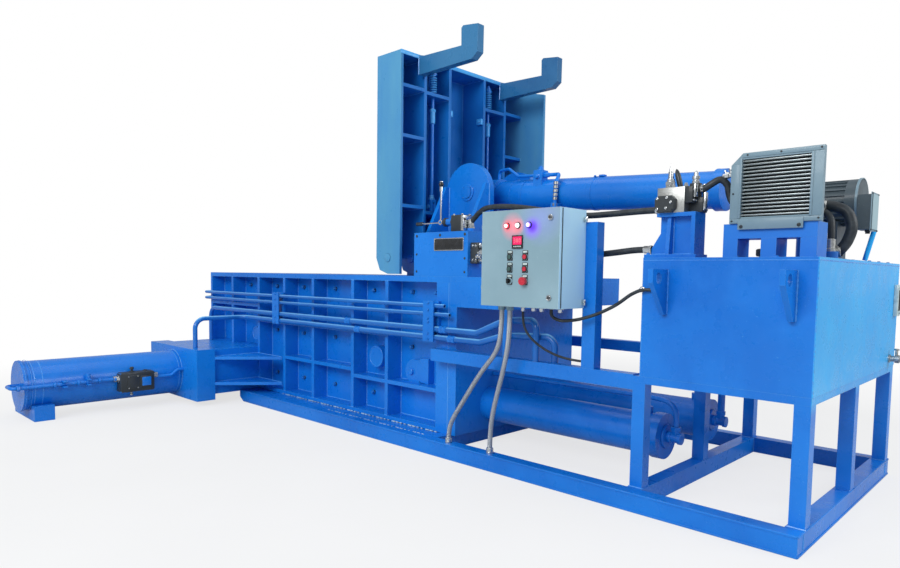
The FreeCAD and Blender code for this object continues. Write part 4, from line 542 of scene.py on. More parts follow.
def lid_welds():
    """Beads in the corners of the lid's ribs and shelves."""
    beads = Mesh()
    for k, y in enumerate(LID_RIBS):
        for edge in (y, y + LID_RIB_WIDTH):
            if -690 < edge < 718:
                beads.bead([(-2965, edge, 1420), (-2965, edge, 2760)], 4, k)
    for start, end, heights in LID_SHELVES:
        for z in heights:
            beads.bead([(-2740, start, z), (-2963, start, z), (-2963, end, z), (-2740, end, z)], 3.5, z)
            beads.bead([(-2740, start, z + 24), (-2963, start, z + 24)], 3.5, z + 1)
        beads.bead([(-2740, start, 2760), (-2963, start, 2760), (-2963, end, 2760), (-2740, end, 2760)], 3.5,
                   start)
    for y in (-518, -458, 404, 464):
        beads.bead([(-2735, y, 2645), (-2735, y, 2780)], 5, y)
    beads.finish("lid_weld_beads", "weld_blue", "lid")


def frame_welds():
    """Beads on the pedestals, the skid, the stand's legs, the tank's lugs and the side press."""
    beads = Mesh()
    for side in (-1, 1):
        for x in (-2642, -2612, -2250, -2220):
            beads.bead([(x, 305 * side, 1180), (x, 305 * side, 1840)], 5, x)
            beads.bead([(x, 305 * side, 1180), (x, 533 * side, 1180)], 5, x + 1)
        beads.bead([(-2642, 255 * side, 1180), (-2220, 255 * side, 1180)], 5, 3)
        beads.bead([(-2642, 305 * side, 1180), (-2220, 305 * side, 1180)], 5, 4)
        for x in (-40, 40, -810, -730, -2296, -2216, -3341, -3261, -4325, -4245):
            beads.bead([(x, 800 * side, 3), (x, 800 * side, 97)], 4, x + 9)
    for x in (-805, -735, -30, 40):
        for y in (-785, -715, -25, 45, 785, 855):
            beads.bead([(x - 5, y, 101), (x + 5, y, 101)], 3, 6)
    for y in (-785, -715, 785, 855):
        beads.bead([(-805, y, 101), (-735, y, 101)], 4, y)
        beads.bead([(-30, y, 101), (40, y, 101)], 4, y + 1)
    for x in (-656, -632, -64, -40):
        beads.bead([(x, -786, 1012), (x, -786, 1233)], 5, x)
    for z in (490, 450):
        beads.bead([(-5583, -1137, z), (-4763, -1137, z)], 4, z)
    beads.bead([(-4763, -1138, 92), (-4763, -1138, 488)], 4, 2)
    for z in (405, 431, 175, 201):
        beads.bead([(-4722, -1136, z), (-4722, -694, z), (-4310, -694, z)], 3.5, z)
    for y in (-2526, -2488, -1306):
        ring = [(SIDE_CYLINDER_X + 203 * math.cos(a), y, SIDE_CYLINDER_Z + 203 * math.sin(a))
                for a in (math.radians(10 * k) for k in range(-9, 25))]
        beads.bead(ring, 4 if y > -1400 else 2, 5)
    beads.bead([(-2230, -692, 132), (-2230, -692, 1136)], 3, 8)
    beads.finish("frame_weld_beads", "weld_blue")


# ---- control cabinet
LAMPS = ((-1461, "lamp_red"), (-1386, "lamp_white"), (-1311, "lamp_blue"))
LAMP_Z = 1466
CABINET_FOOT = 1020
SEGMENTS = {"0": "abcdef", "3": "abcdg", "8": "abcdefg"}
SEGMENT_BARS = {"a": (0, 1, 1, 0), "b": (1, 0.5, 0, 1), "c": (1, -0.5, 0, 1), "d": (0, -1, 1, 0),
                "e": (-1, -0.5, 0, 1), "f": (-1, 0.5, 0, 1), "g": (0, 0, 1, 0)}


def cabinet_lamps():
    """Bezels, lenses and lit cores of the signal lamps."""
    bezels = Mesh()
    for x, lens_name in LAMPS:
        bezels.turned((x, -1030, LAMP_Z), FRONT, [(0, 17), (5, 17), (8, 15.5), (8, 12.6), (4, 12.2)], 32)
        lens = Mesh()
        lens.turned((x, -1034, LAMP_Z), FRONT, [
            (0, 12.4), (5, 12.4), (8, 11.2), (10.5, 8), (11.8, 4), (12, 0)], 32)
        lens.finish(f"{lens_name}_lens", lens_name, "cabinet_door",
                    replaces=("door_instruments",))
    bezels.finish("lamp_bezels", "black_plastic", "cabinet_door", replaces=("door_instruments",))
    cores = Mesh()
    for x, _ in LAMPS:
        cores.turned((x, -1044.5, LAMP_Z), FRONT, [(0, 10.2), (1.2, 9.4), (2.4, 0)], 24)
    cores.finish("lamp_cores", "lamp_white", "cabinet_door")


def cabinet_meter():
    """The meter with its lit window, figures and keys."""
    meter = Mesh()
    meter.block(-1422, -1350, -1037, -1029.5, 1340, 1412, 2)
    for side in (-1, 1):
        meter.block(-1386 + 33 * side - 3, -1386 + 33 * side + 3, -1038.4, -1036.6, 1346.5, 1405.5, 0.6)
        meter.block(-1422, -1350, -1038.4, -1036.6, 1376 + 33 * side - 3, 1376 + 33 * side + 3, 0.6)
    meter.finish("meter_case", "black_plastic", "cabinet_door", replaces=("door_instruments",))
    window = Mesh()
    window.block(-1416, -1356, -1037.4, -1036.9, 1362, 1405)
    window.finish("meter_window", "meter_glow", "cabinet_door")
    digits = Mesh()
    for place, figure in zip((-1404, -1386, -1368), "380"):
        for bar in SEGMENTS[figure]:
            across, up, wide, tall = SEGMENT_BARS[bar]
            x, z = place + across * 4.6, 1384 + up * 9
            half_x, half_z = (3.6, 1.2) if wide else (1.2, 3.4)
            digits.block(x - half_x, x + half_x, -1037.9, -1037.3, z - half_z, z + half_z, 0.3)
    digits.finish("meter_digits", "digit_red", "cabinet_door")
    keys = Mesh()
    for x in (-1407, -1393, -1379, -1365):
        keys.block(x - 4.5, x + 4.5, -1037.9, -1036.5, 1348, 1355, 0.8)
    keys.finish("meter_keys", "gauge_plastic", "cabinet_door")


def control_plates():
    """Plates and blank labels of the buttons and switches."""
    plates = Mesh()
    labels = Mesh()
    for x in (-1438, -1333):
        for z in (1295, 1229, 1163):
            plates.block(x - 19, x + 19, -1032.6, -1029.6, z - 21, z + 35, 2)
            labels.block(x - 14, x + 14, -1033.4, -1032, z + 22, z + 32, 0.6)
    plates.finish("control_plates", "black_plastic", "cabinet_door")
    labels.finish("blank_labels", "gauge_plastic", "cabinet_door")


def lock_details():
    """The locks' rings, and dark slot shapes on their faces as painted shade of the keyways."""
    for name, z in (("lock_upper", 1500), ("lock_lower", 1078)):
        ring = Mesh()
        ring.turned((-1170, -1036.5, z), FRONT, [
            (0, 15.5), (1.5, 15.5), (2.5, 14.2), (2.5, 13.3), (0, 13.3)], 28)
        ring.finish(f"{name}_ring", "fitting_steel", "cabinet_door")
        # the slot is a dark shape on the lock's face: painted shade of the keyway
        slot = Mesh()
        slot.block(-1172, -1168, -1042.6, -1041.5, z - 9, z + 9, 0.4)
        slot.turned((-1170, -1041.5, z), FRONT, [(0, 5.5), (1.1, 5.5), (1.1, 0)], 18)
        slot.finish(f"{name}_slot", "dark_slot", name)


def door_trim():
    """The buttons' rims, the selector's bar and the door's seal."""
    rims = Mesh()
    for x, z in ((-1438, 1295), (-1438, 1229), (-1333, 1295), (-1333, 1229)):
        rims.turned((x, -1036, z), FRONT, [(0, 18.6), (1.6, 18), (2.2, 16), (2.2, 13.2), (-1, 13)], 28)
    rims.finish("button_rims", "black_plastic", "cabinet_door")
    handle = Mesh()
    handle.block(-1442, -1434, -1060, -1054, 1151, 1175, 2)
    handle.finish("selector_bar", "black_plastic", "selector")
    seal = Mesh()
    seal.block(-1640, -1118, -1011, -1007, 1028, 1032)
    seal.block(-1640, -1118, -1011, -1007, 1540, 1544)
    seal.block(-1640, -1636, -1011, -1007, 1032, 1540)
    seal.block(-1122, -1118, -1011, -1007, 1032, 1540)
    seal.block(-1113.4, -1111.2, -1012.5, -1003.5, 1024, 1548)
    seal.finish("door_seal", "black_rubber", "cabinet_door")


def cabinet_body_details():
    """Gland nuts, the conduits' end sleeves and the wall ears."""
    nuts = Mesh()
    for x, y, radius in ((-1600, -895, 25), (-1540, -895, 25), (-1445, -895, 14)):
        nuts.turned((x, y, CABINET_FOOT), DOWN, [
            (0, radius), (9, radius), (11, radius * 0.9), (11, radius * 0.7)], 6)
        nuts.turned((x, y, 1008), DOWN, [(0, radius * 0.9), (16, radius * 0.82), (19, radius * 0.66)], 20)
    for x in (-1370, -1315, -1190):
        nuts.turned((x, -895, CABINET_FOOT), DOWN, [(0, 20), (8, 20), (10, 18), (10, 15)], 6)
        nuts.turned((x, -895, 1011), DOWN, [(0, 15), (13, 14), (18, 11), (18, 0)], 20)
    nuts.turned((-1250, -895, CABINET_FOOT), DOWN, [(0, 17), (8, 17), (10, 15), (10, 10)], 6)
    nuts.finish("cable_gland_nuts", "fitting_steel")
    ends = Mesh()
    for x in (-2075, -1722):
        ends.turned((x, -838, 100), UP, [(0, 24), (10, 24), (12, 22), (30, 22), (34, 19), (34, 15)], 20)
    ends.finish("conduit_end_sleeves", "fitting_steel")
    ears = Mesh()
    for z in (1052, 1500):
        ears.block(-1112, -1088, -812, -806, z - 16, z + 16, 3)
        ears.bolt((-1098, -812, z), FRONT, 9)
    ears.finish("cabinet_ears", "fitting_steel")


# ---- side press
def side_valve():
    """Check valve with a cover plate, standing over the pad on the side cylinder."""
    body = Mesh()
    body.block(-5022, -4908, -1862, -1575, 158, 326, 16)
    body.turned((-4912, -1718, 242), RIGHT, [(0, 62), (8, 60), (12, 50), (12, 0)], 32)
    body.block(-4912, -4896, -1806, -1716, 184, 302, 5)
    body.block(-4912, -4892, -1700, -1606, 196, 290, 6)
    for y in (-1752, -1640):
        body.turned((-4955, y, 310), UP, [(0, 26), (10, 26), (14, 20), (22, 20), (24, 14)], 24)
    body.turned((-4955, -1752, 330), UP, [
        (0, 9), (14, 9), (16, 15), (28, 17), (34, 15), (38, 8), (39, 0)], 20)
    body.turned((-4950, -1760, 176), DOWN, [(0, 22), (8, 22), (12, 14), (22, 14), (24, 9), (24, 0)], 20)
    body.finish("side_valve_body", "valve_black")
    plate = Mesh()
    plate.block(-4893, -4888, -1690, -1616, 206, 280, 2.5)
    plate.finish("side_valve_cover", "blue_paint")
    metal = Mesh()
    for y in (-1798, -1724):
        for z in (194, 292):
            metal.bolt((-4896, y, z), RIGHT, 9, 7)
    for y, z, way in ((-1850, 276, -1), (-1590, 280, 1)):
        metal.turned((-4955, y, z), (0, way, 0), [(0, 34), (16, 34), (19, 31), (19, 25), (30, 25)], 6)
        metal.turned((-4955, y + 28 * way, z), (0, way, 0), [(0, 25), (22, 23), (24, 20), (24, 15)], 24)
    metal.turned((-4950, -1760, 152), DOWN, [(0, 10), (10, 10), (14, 13), (24, 13), (27, 9), (27, 0)], 18)
    metal.finish("side_valve_fittings", "valve_steel")


def side_pipe_clamps():
    """Clamps and collars of the side cylinder's pipe."""
    clamp = Mesh()
    for y in (-2095, -2270):
        clamp.block(-4986, -4908, y - 16, y + 16, 250, 262, 3)
        clamp.block(-4986, -4908, y - 16, y + 16, 292, 303, 3)
        clamp.bolt((-4920, y, 303), UP, 13, 9)
    clamp.block(-5000, -4935, -2110, -2080, 262, 330, 6)
    clamp.turned((-4955, -2095, 325), UP, [(0, 18), (14, 18), (18, 14), (18, 0)], 18)
    for y in (-2350, -2180, -2020, -1900):
        clamp.turned((-4951, y, 276), BACK, [(0, 17), (3, 21), (18, 21), (21, 17)], 20)
    clamp.turned((-4951, -2600, 276), BACK, [(0, 18), (2, 24), (22, 24), (24, 18)], 6)
    clamp.finish("side_pipe_clamps", "blue_paint")


def side_cylinder_trim():
    """The cylinder's seams and the feet of its saddle."""
    seams = Mesh()
    for y, swell in ((-2466, 1.8), (-2410, 1.2), (-1330, 1.5)):
        seams.turned((SIDE_CYLINDER_X, y, SIDE_CYLINDER_Z), BACK, [(-3, 195), (0, 195 + swell), (3, 195)], 96)
    seams.finish("side_cylinder_seams", "weld_blue")
    foot = Mesh()
    for y in (-2470, -2355):
        foot.block(-5528, -5490, y, y + 4, 1, 40, 1)
    foot.finish("saddle_feet", "blue_paint")


# ---- lid cylinder and housing
LID_TILT = math.atan2(11, 229)
TRUNNION_X, TRUNNION_Z = -2431, 1790


def on_lid_cylinder(x, y, z):
    """A point given along and across the tilted lid cylinder, from its trunnion."""
    return (TRUNNION_X + x * math.cos(LID_TILT) + z * math.sin(LID_TILT), y,
            TRUNNION_Z - x * math.sin(LID_TILT) + z * math.cos(LID_TILT))


def lid_cylinder_details():
    """Bands, ports and the hose guard on the cylinder, and caps on its trunnions."""
    along = (math.cos(LID_TILT), 0, -math.sin(LID_TILT))
    above = (math.sin(LID_TILT), 0, math.cos(LID_TILT))
    parts = Mesh()
    parts.turned(on_lid_cylinder(70, 0, 0), along, [(0, 110), (2, 124.5), (10, 124.5), (13, 110)], 64)
    parts.turned(on_lid_cylinder(1708, 0, 0), along, [(0, 110), (0, 123), (9, 123), (12, 110)], 64)
    parts.turned(on_lid_cylinder(408, -60, 132), along, [(0, 12), (2, 19), (22, 19), (24, 16)], 6)
    parts.turned(on_lid_cylinder(505, -60, 132), along, [(-2, 20), (16, 20), (18, 17), (36, 17), (38, 14)], 6)
    parts.turned(on_lid_cylinder(467, -60, 163), above, [
        (0, 24), (8, 24), (10, 18), (24, 18), (26, 12), (34, 12), (34, 0)], 20)
    parts.turned(on_lid_cylinder(467, -92, 120), FRONT, [
        (0, 20), (6, 20), (8, 14), (22, 14), (24, 10), (24, 0)], 20)
    for x in (225, 330):
        parts.turned(on_lid_cylinder(x, 0, 0), along, [(-9, 110), (-9, 113), (9, 113), (9, 110)], 64)
        parts.bolt(on_lid_cylinder(x, 0, 112), above, 14, 9)
    parts.turned(on_lid_cylinder(900, 0, 0), along, [(-12, 110), (-12, 113), (12, 113), (12, 110)], 64)
    parts.bolt(on_lid_cylinder(900, -40, 107), above, 14, 9)
    parts.block(-1500, -1462, -40, 0, 1851, 1864, 3)
    parts.finish("lid_cylinder_bands", "blue_paint", "lid_cylinder")
    steel = Mesh()
    for k in range(5):
        steel.turned(on_lid_cylinder(655, -132, 64 - 26 * k), above, [
            (-11, 14), (-9, 17), (9, 17), (11, 14)], 18)
    steel.turned(on_lid_cylinder(655, -132, -92), above, [(0, 17), (2, 22), (20, 22), (22, 17)], 6)
    steel.finish("hose_guard_rings", "valve_steel", "lid_cylinder")
    caps = Mesh()
    for side in (-1, 1):
        caps.turned((TRUNNION_X, 305 * side, TRUNNION_Z), (0, side, 0), [
            (0, 62), (6, 62), (8, 58), (8, 43)], 40)
        caps.turned((TRUNNION_X, 315 * side, TRUNNION_Z), (0, side, 0), [(0, 30), (5, 28), (6, 0)], 32)
        for x, z in circle(4, 52, 45):
            caps.bolt((TRUNNION_X + x, 313 * side, TRUNNION_Z + z), (0, side, 0), 8, 5)
    caps.finish("trunnion_caps", "blue_paint")


def housing_face():
    """The blank plate, its rim and the screws of the valve housing."""
    frame_plate = Mesh()
    for x0, x1, z0, z1 in ((-2376, -2100, 1352, 1358), (-2376, -2100, 1431, 1437),
                           (-2376, -2370, 1358.2, 1430.8), (-2106, -2100, 1358.2, 1430.8)):
        frame_plate.block(x0, x1, -697.5, -694.5, z0, z1, 0.8)
    frame_plate.finish("plate_rim", "fitting_steel")
    blank = Mesh()
    blank.block(-2371, -2105, -696.3, -694.6, 1357, 1432, 0.6)
    blank.finish("blank_plate", "black_plastic")
    screws = Mesh()
    for x in (-2552, -2322, -2092):
        screws.turned((x, -692, 1458), FRONT, [(0, 10), (3, 9), (5, 5), (5, 0)], 16)
    for x, z in ((-2552, 1210), (-2092, 1210), (-2552, 1330), (-2092, 1300)):
        screws.turned((x, -692, z), FRONT, [(0, 8), (3, 7), (4, 4), (4, 0)], 16)
    for x, z in ((-2366, 1362), (-2110, 1362), (-2366, 1427), (-2110, 1427)):
        screws.turned((x, -697, z), FRONT, [(0, 3.4), (1.2, 2.8), (1.2, 0)], 12)
    screws.finish("housing_screws", "valve_black")


def housing_fittings():
    """Pipe fittings on the side of the valve housing."""
    fittings = Mesh()
    for y, z in ((-642, 1335), (-598, 1335)):
        fittings.turned((-2010, y, z), RIGHT, [(0, 21), (2, 25), (18, 25), (20, 21)], 6)
        fittings.turned((-1988, y, z), RIGHT, [(0, 22), (24, 20), (26, 17)], 24)
    for y, z in ((-642, 1385), (-598, 1385), (-642, 1288), (-598, 1288), (-664, 1312)):
        fittings.turned((-2008, y, z), RIGHT, [
            (0, 17), (12, 17), (14, 12), (26, 12), (28, 15), (40, 15), (42, 10), (42, 0)], 6)
    for x, z in ((-2050, 1288), (-2022, 1288), (-2050, 1382), (-2022, 1382)):
        fittings.turned((x, -658, z), FRONT, [(0, 9), (8, 9), (9, 6), (6, 5), (6, 0)], 16)
    fittings.turned((-2105, -620, 1500), UP, [(0, 25), (12, 25), (14, 21), (34, 21), (36, 18)], 6)
    fittings.finish("housing_fittings", "fitting_steel")


def hand_valve():
    """The hand valve on the housing and the block beside it."""
    block = Mesh()
    block.block(-2068, -2004, -666, -574, 1266, 1404, 5)
    block.block(-2246, -2134, -669, -571, 1478, 1591, 6)
    block.turned((-2250, -620, 1550), LEFT, [
        (0, 28), (20, 28), (24, 24), (70, 24), (74, 30), (96, 30), (98, 24)], 24)
    block.finish("hand_valve_body", "valve_black")
    bolts = Mesh()
    for x in (-2228, -2152):
        for y in (-655, -585):
            bolts.turned((x, y, 1590), UP, [(0, 8), (8, 8), (9, 5), (6, 4.4), (6, 0)], 18)
    bolts.block(-2150, -2128, -672, -568, 1484, 1586, 2)
    bolts.finish("hand_valve_bolts", "fitting_steel")


def lever_details():
    """The knob and the grip of the two hand levers."""
    knob = Mesh()
    knob.turned((-2370, -638, 1790), UP, [
        (0, 8), (4, 13), (14, 17), (24, 17), (33, 12), (38, 5), (39, 0)], 24)
    knob.finish("lever_knob", "black_plastic", "lever_upright")
    grip = Mesh()
    for k in range(6):
        grip.turned((-2650 + 12 * k, -602, 1550 + 0.2 * k), RIGHT, [
            (0, 11.5), (2, 13.5), (8, 13.5), (10, 11.5)], 20)
    grip.finish("lever_grip_rings", "black_rubber", "lever_flat")


# ---- power pack
MANIFOLD_TOP = 1650
SMALL_SOCKET = [(0, 6), (5, 6), (6, 4), (3, 3.4), (3, 0)]


def octagon(mesh, x0, x1, y0, y1, z0, z1, corner):
    """A plate facing along Y with cut corners."""
    mesh.slab([(x0 + corner, z0), (x1 - corner, z0), (x1, z0 + corner), (x1, z1 - corner), (x1 - corner, z1),
               (x0 + corner, z1), (x0, z1 - corner), (x0, z0 + corner)], y0, y1)


def manifold_valves():
    """The manifold block and its valves."""
    steel = Mesh()
    steel.block(-757, -611, -681, -559, 1523, 1651, 2)
    steel.finish("manifold_body", "valve_steel", replaces=("manifold_block",))
    black = Mesh()
    octagon(black, -757, -650, -707, -680, 1524, 1608, 18)
    octagon(black, -753, -654, -711, -706, 1528, 1604, 17)
    black.block(-612, -571, -681, -630, 1569, 1651, 4)
    black.block(-612, -539, -629.5, -569, 1523, 1599, 5)
    black.block(-611, -561, -631, -589, 1597, 1671, 4)
    black.finish("manifold_valves", "valve_black", replaces=("control_valves",))


def manifold_fittings():
    """Screws, caps and pipe fittings of the manifold."""
    fittings = Mesh()
    for x, z in ((-741, 1594), (-690, 1597), (-669, 1573), (-694, 1545), (-741, 1541)):
        fittings.turned((x, -710, z), FRONT, [(0, 7), (6, 7), (7, 4.6), (4, 4), (4, 0)], 18)
    for y, z in ((-668, 1638), (-642, 1638), (-668, 1582), (-642, 1582)):
        fittings.turned((-571, y, z), RIGHT, SMALL_SOCKET, 16)
    for y, z in ((-618, 1536), (-582, 1536), (-618, 1586), (-582, 1586)):
        fittings.turned((-539, y, z), RIGHT, SMALL_SOCKET, 16)
    fittings.turned((-716, -620, MANIFOLD_TOP), UP, [
        (0, 28), (10, 28), (12, 24), (16, 24), (18, 27), (36, 27), (38, 22)], 6)
    fittings.turned((-716, -620, 1686), UP, [
        (0, 20), (14, 20), (16, 14), (52, 13), (56, 9), (70, 8), (72, 5), (92, 3.5), (94, 0)], 20)
    fittings.turned((-690, -640, MANIFOLD_TOP), UP, [(0, 10), (16, 10), (18, 6), (30, 6), (30, 0)], 6)
    fittings.turned((-587, -610, 1670), UP, [
        (0, 19), (12, 19), (14, 15), (20, 15), (22, 19), (36, 19), (38, 12), (54, 11), (62, 4), (64, 0)], 18)
    fittings.turned((-624, -640, MANIFOLD_TOP), UP, [(0, 12), (14, 12), (16, 8), (24, 8), (24, 0)], 6)
    fittings.turned((-756, -620, 1546), LEFT, [(0, 25), (12, 25), (14, 22), (34, 22), (36, 18)], 6)
    fittings.turned((-562, -610, 1640), RIGHT, [(0, 22), (8, 22), (10, 19), (18, 19)], 6)
    fittings.block(-571, -560, -672, -644, 1596, 1662, 2)
    fittings.block(-539, -526, -628, -598, 1538, 1622, 3)
    fittings.block(-562, -548, -588, -566, 1596, 1668, 3)
    fittings.finish("manifold_fittings", "fitting_steel")
    cap = Mesh()
    cap.turned((-668, -602, MANIFOLD_TOP), (-0.27, 0, 1), [
        (0, 12), (28, 14), (70, 14), (94, 10), (106, 3), (107, 0)], 20)
    cap.finish("manifold_cap", "valve_black")


def manifold_stand():
    """Foot bolts and seams of the manifold's pedestal."""
    straps = Mesh()
    for y in (-678, -562):
        straps.bolt((-798, y, 1313), UP, 16, 9)
    straps.finish("manifold_foot_bolts", "blue_paint")
    seams = Mesh()
    for k, x in enumerate((-709, -683, -575)):
        seams.bead([(x, -632, 1318), (x, -632, 1500)], 4, 20 + k)
    seams.bead([(-800, -632, 1315), (-576, -632, 1315)], 4, 30)
    seams.finish("manifold_stand_seams", "weld_blue")


FIN_COUNT = 16
FIN_PITCH = 17.0
FAN_X = -202
MOTOR_Y, MOTOR_Z = 110, 1600
TANK_TOP = 1293


def cooler_face():
    """The fins' lips, a dark sheet behind them as painted shade in the gaps, the face frame and its bolts."""
    # a dark sheet behind the fin lips: painted shade in the gaps between the fins
    dark = Mesh()
    dark.block(-353, -51, -593, -589.5, 1487, 1761)
    dark.finish("cooler_gap_painted_shade", "dark_slot")
    lips = Mesh()
    for k in range(FIN_COUNT):
        z = 1488 + FIN_PITCH * (k + 0.5)
        lips.block(-352, -52, -630.5, -625, z - 0.5, z + 3, 0.8)
    lips.finish("cooler_fin_lips", "alu_light")
    rim = Mesh()
    rim.block(-404, 0, -634, -629, 1458, 1480, 1.5)
    rim.block(-352, 0, -634, -629, 1768, 1790, 1.5)
    rim.block(-404, -352, -634, -629, 1480.5, 1738, 1.5)
    rim.block(-52, 0, -634, -629, 1480.5, 1767.5, 1.5)
    rim.block(-364, -353, -637, -634.2, 1482, 1766, 1)
    rim.block(-51, -40, -637, -634.2, 1482, 1766, 1)
    rim.block(-362, -72, -638, -634.2, 1428, 1478, 1.2)
    rim.finish("cooler_face_frame", "cooler_hood")
    bolts = Mesh()
    for x, z in ((-346, 1442), (-90, 1442)):
        bolts.turned((x, -638, z), FRONT, [(0, 9), (2, 8), (2, 0)], 18)
        bolts.block(x - 2, x + 2, -641, -639.8, z - 8, z + 8, 0.5)
    for x, z in ((-392, 1470), (-12, 1470), (-12, 1780), (-330, 1780), (-180, 1780), (-390, 1600)):
        bolts.bolt((x, -634, z), FRONT, 7, 4)
    bolts.finish("cooler_bolts", "valve_black")


def cooler_fittings():
    """Header and tap of the oil cooler."""
    tanks = Mesh()
    tanks.block(-402, -366, -600, -500, 1490, 1734, 8)
    tanks.turned((-400, -556, 1560), LEFT, [(0, 24), (8, 24), (10, 20), (18, 20)], 6)
    tanks.block(-404, -384, -629, -604, 1532, 1592, 3)
    tanks.finish("cooler_header", "cooler_hood")
    tap = Mesh()
    tap.turned((-402, -580, 1700), LEFT, [
        (0, 18), (12, 18), (14, 12), (30, 12), (32, 16), (50, 16), (52, 8), (62, 8), (62, 0)], 6)
    tap.turned((-425, -580, 1708), UP, [(0, 8), (12, 8), (14, 12), (22, 12), (24, 0)], 12)
    tap.turned((-445, -580, 1704), (-0.5, 0, 1), [(0, 5), (24, 4), (25, 0)], 12)
    tap.finish("cooler_tap", "fitting_steel")


def fan_guard():
    """Wire rings and spokes before the fan."""
    grille = Mesh()
    for radius in (58, 88, 118):
        grille.turned((FAN_X, -452, 1624), BACK, [
            (-2, radius), (0, radius + 2.5), (2, radius), (0, radius - 2.5), (-2, radius)], 48)
    for turn in range(6):
        a = math.radians(60 * turn + 30)
        grille.turned((FAN_X + 16 * math.cos(a), -449, 1624 + 16 * math.sin(a)),
                      (math.cos(a), 0, math.sin(a)), [(0, 0), (0, 2.4), (104, 2.4), (104, 0)], 8)
    grille.finish("fan_guard", "valve_black")


def terminal_box():
    """The terminal box's cover, screws and stay."""
    box_front = Mesh()
    box_front.block(64, 68, -52, 92, 1440, 1636, 2)
    box_front.finish("terminal_cover", "cooler_hood")
    screws = Mesh()
    for y in (-45, 85):
        for z in (1447, 1629):
            screws.bolt((68, y, z), RIGHT, 8, 4)
    screws.turned((40, 30, 1450), DOWN, [(0, 15), (8, 15), (10, 12), (18, 12)], 6)
    screws.finish("terminal_screws", "valve_black")
    stay = Mesh()
    stay.turned((68, 30, 1442), (-0.24, 0.05, -1), [(0, 12), (150, 12)], 16)
    stay.finish("terminal_stay", "blue_paint")


def motor_rings():
    """Rings and bolts at the ends of the motor and of the bell housing."""
    ends = Mesh()
    for x0, x1 in ((-330, -318), (-17, -5)):
        ends.turned((x0, MOTOR_Y, MOTOR_Z), RIGHT, [(0, 118), (0, 127), (x1 - x0, 127), (x1 - x0, 118)], 48)
    ends.turned((-322, MOTOR_Y, MOTOR_Z), RIGHT, [(-3, 127), (-3, 60), (0, 60)], 48)
    for y, z in circle(8, 112, 22.5):
        ends.bolt((-331, MOTOR_Y + y, MOTOR_Z + z), LEFT, 14, 8)
    ends.finish("motor_end_rings", "cooler_hood")
    bell = Mesh()
    for x, radius in ((-450, 97), (-338, 100)):
        bell.turned((x, MOTOR_Y, MOTOR_Z), RIGHT, [(0, 60), (0, radius), (10, radius), (10, 60)], 40)
    for y, z in circle(6, 78):
        bell.bolt((-452, MOTOR_Y + y, MOTOR_Z + z), LEFT, 14, 8)
    bell.turned((-600, MOTOR_Y, MOTOR_Z), LEFT, [(0, 56), (6, 56), (10, 40), (10, 0)], 30)
    bell.finish("pump_bell_rings", "blue_worn")


def pump_head():
    """The small pump's head and ports, and the motor's foot bolts."""
    pump = Mesh()
    pump.block(-213, -127, -250, -130, 1508, 1602, 6)
    for y, z, size in ((-190, 1562, 34), (-226, 1530, 23)):
        pump.turned((-129, y, z), RIGHT, [
            (-2, size), (14, size), (16, size * 0.86), (34, size * 0.86), (36, size * 0.8)], 24)
    for y in (-238, -142):
        for z in (1520, 1590):
            pump.turned((-127, y, z), RIGHT, [(0, 8), (8, 8), (9, 5), (6, 4), (6, 0)], 16)
    pump.turned((-52, -256, 1333), UP, [(0, 24), (14, 24), (16, 21), (60, 21), (62, 18)], 24)
    pump.turned((-60, -190, 1337), RIGHT, [(0, 34), (12, 34), (14, 31), (40, 31), (42, 27)], 24)
    pump.turned((-170, -190, 1600), UP, [(0, 30), (10, 30), (14, 20), (40, 20), (44, 14), (44, 0)], 24)
    pump.finish("boost_pump_head", "valve_steel")
    feet = Mesh()
    for x in (-250, -55):
        for y in (28, 192):
            feet.bolt((x, y, TANK_TOP), UP, 18, 12)
    feet.finish("motor_foot_bolts", "fitting_steel")


def hose_ends():
    """Crimped sleeves and nuts where the hoses end."""
    metal = Mesh()
    metal.turned((-806, -620, 1340), LEFT, [(0, 24), (12, 24), (14, 21), (46, 21), (48, 18)], 6)
    metal.turned((-1966, -642, 1335), RIGHT, [(0, 22), (12, 22), (14, 20), (42, 20), (44, 18)], 20)
    metal.turned((-2105, -620, 1530), UP, [(0, 21), (26, 21), (28, 18)], 20)
    metal.turned((-766, -785, 1131), FRONT, [(0, 16), (10, 16), (12, 12), (20, 12)], 6)
    metal.finish("hose_end_sleeves", "fitting_steel")


# ---- tank and fittings
def level_gauge():
    """Level gauge and drain valve of the tank."""
    gauge = Mesh()
    gauge.block(42, 66, 742, 816, 983, 1170, 5)
    gauge.block(64, 71, 752, 806, 994, 1016, 3)
    gauge.block(64, 71, 752, 806, 1137, 1159, 3)
    gauge.finish("level_gauge_body", "gauge_plastic", replaces=("tank_fittings",))
    glass = Mesh()
    glass.block(64, 70, 758, 800, 1014, 1139, 3)
    glass.finish("level_gauge_glass", "dark_slot")
    screws = Mesh()
    for z in (1005, 1148):
        screws.bolt((71, 779, z), RIGHT, 13, 8)
    screws.turned((43, 700, 735), RIGHT, [
        (0, 24), (8, 24), (10, 17), (30, 17), (32, 24), (54, 24), (56, 17), (70, 17), (70, 0)], 24)
    screws.block(74, 88, 694, 706, 752, 790, 3)
    screws.turned((81, 700, 790), UP, [(-4, 0), (-4, 14), (3, 14), (5, 11), (5, 0)], 20)
    screws.finish("drain_valve", "valve_steel", replaces=("tank_fittings",))


def filler_cap():
    """The ribbed cap of the filler."""
    filler = Mesh()
    filler.turned((-650, 640, TANK_TOP), UP, [
        (0, 60), (6, 60), (8, 44), (44, 44), (46, 60), (50, 62), (88, 62), (93, 58), (95, 50), (95, 0)], 48)
    for x, y in circle(24, 61):
        filler.turned((x - 650, y + 640, 1346), UP, [(0, 0), (0, 3.4), (36, 3.4), (36, 0)], 6)
    filler.finish("filler_cap", "valve_black", replaces=("tank_fittings",))


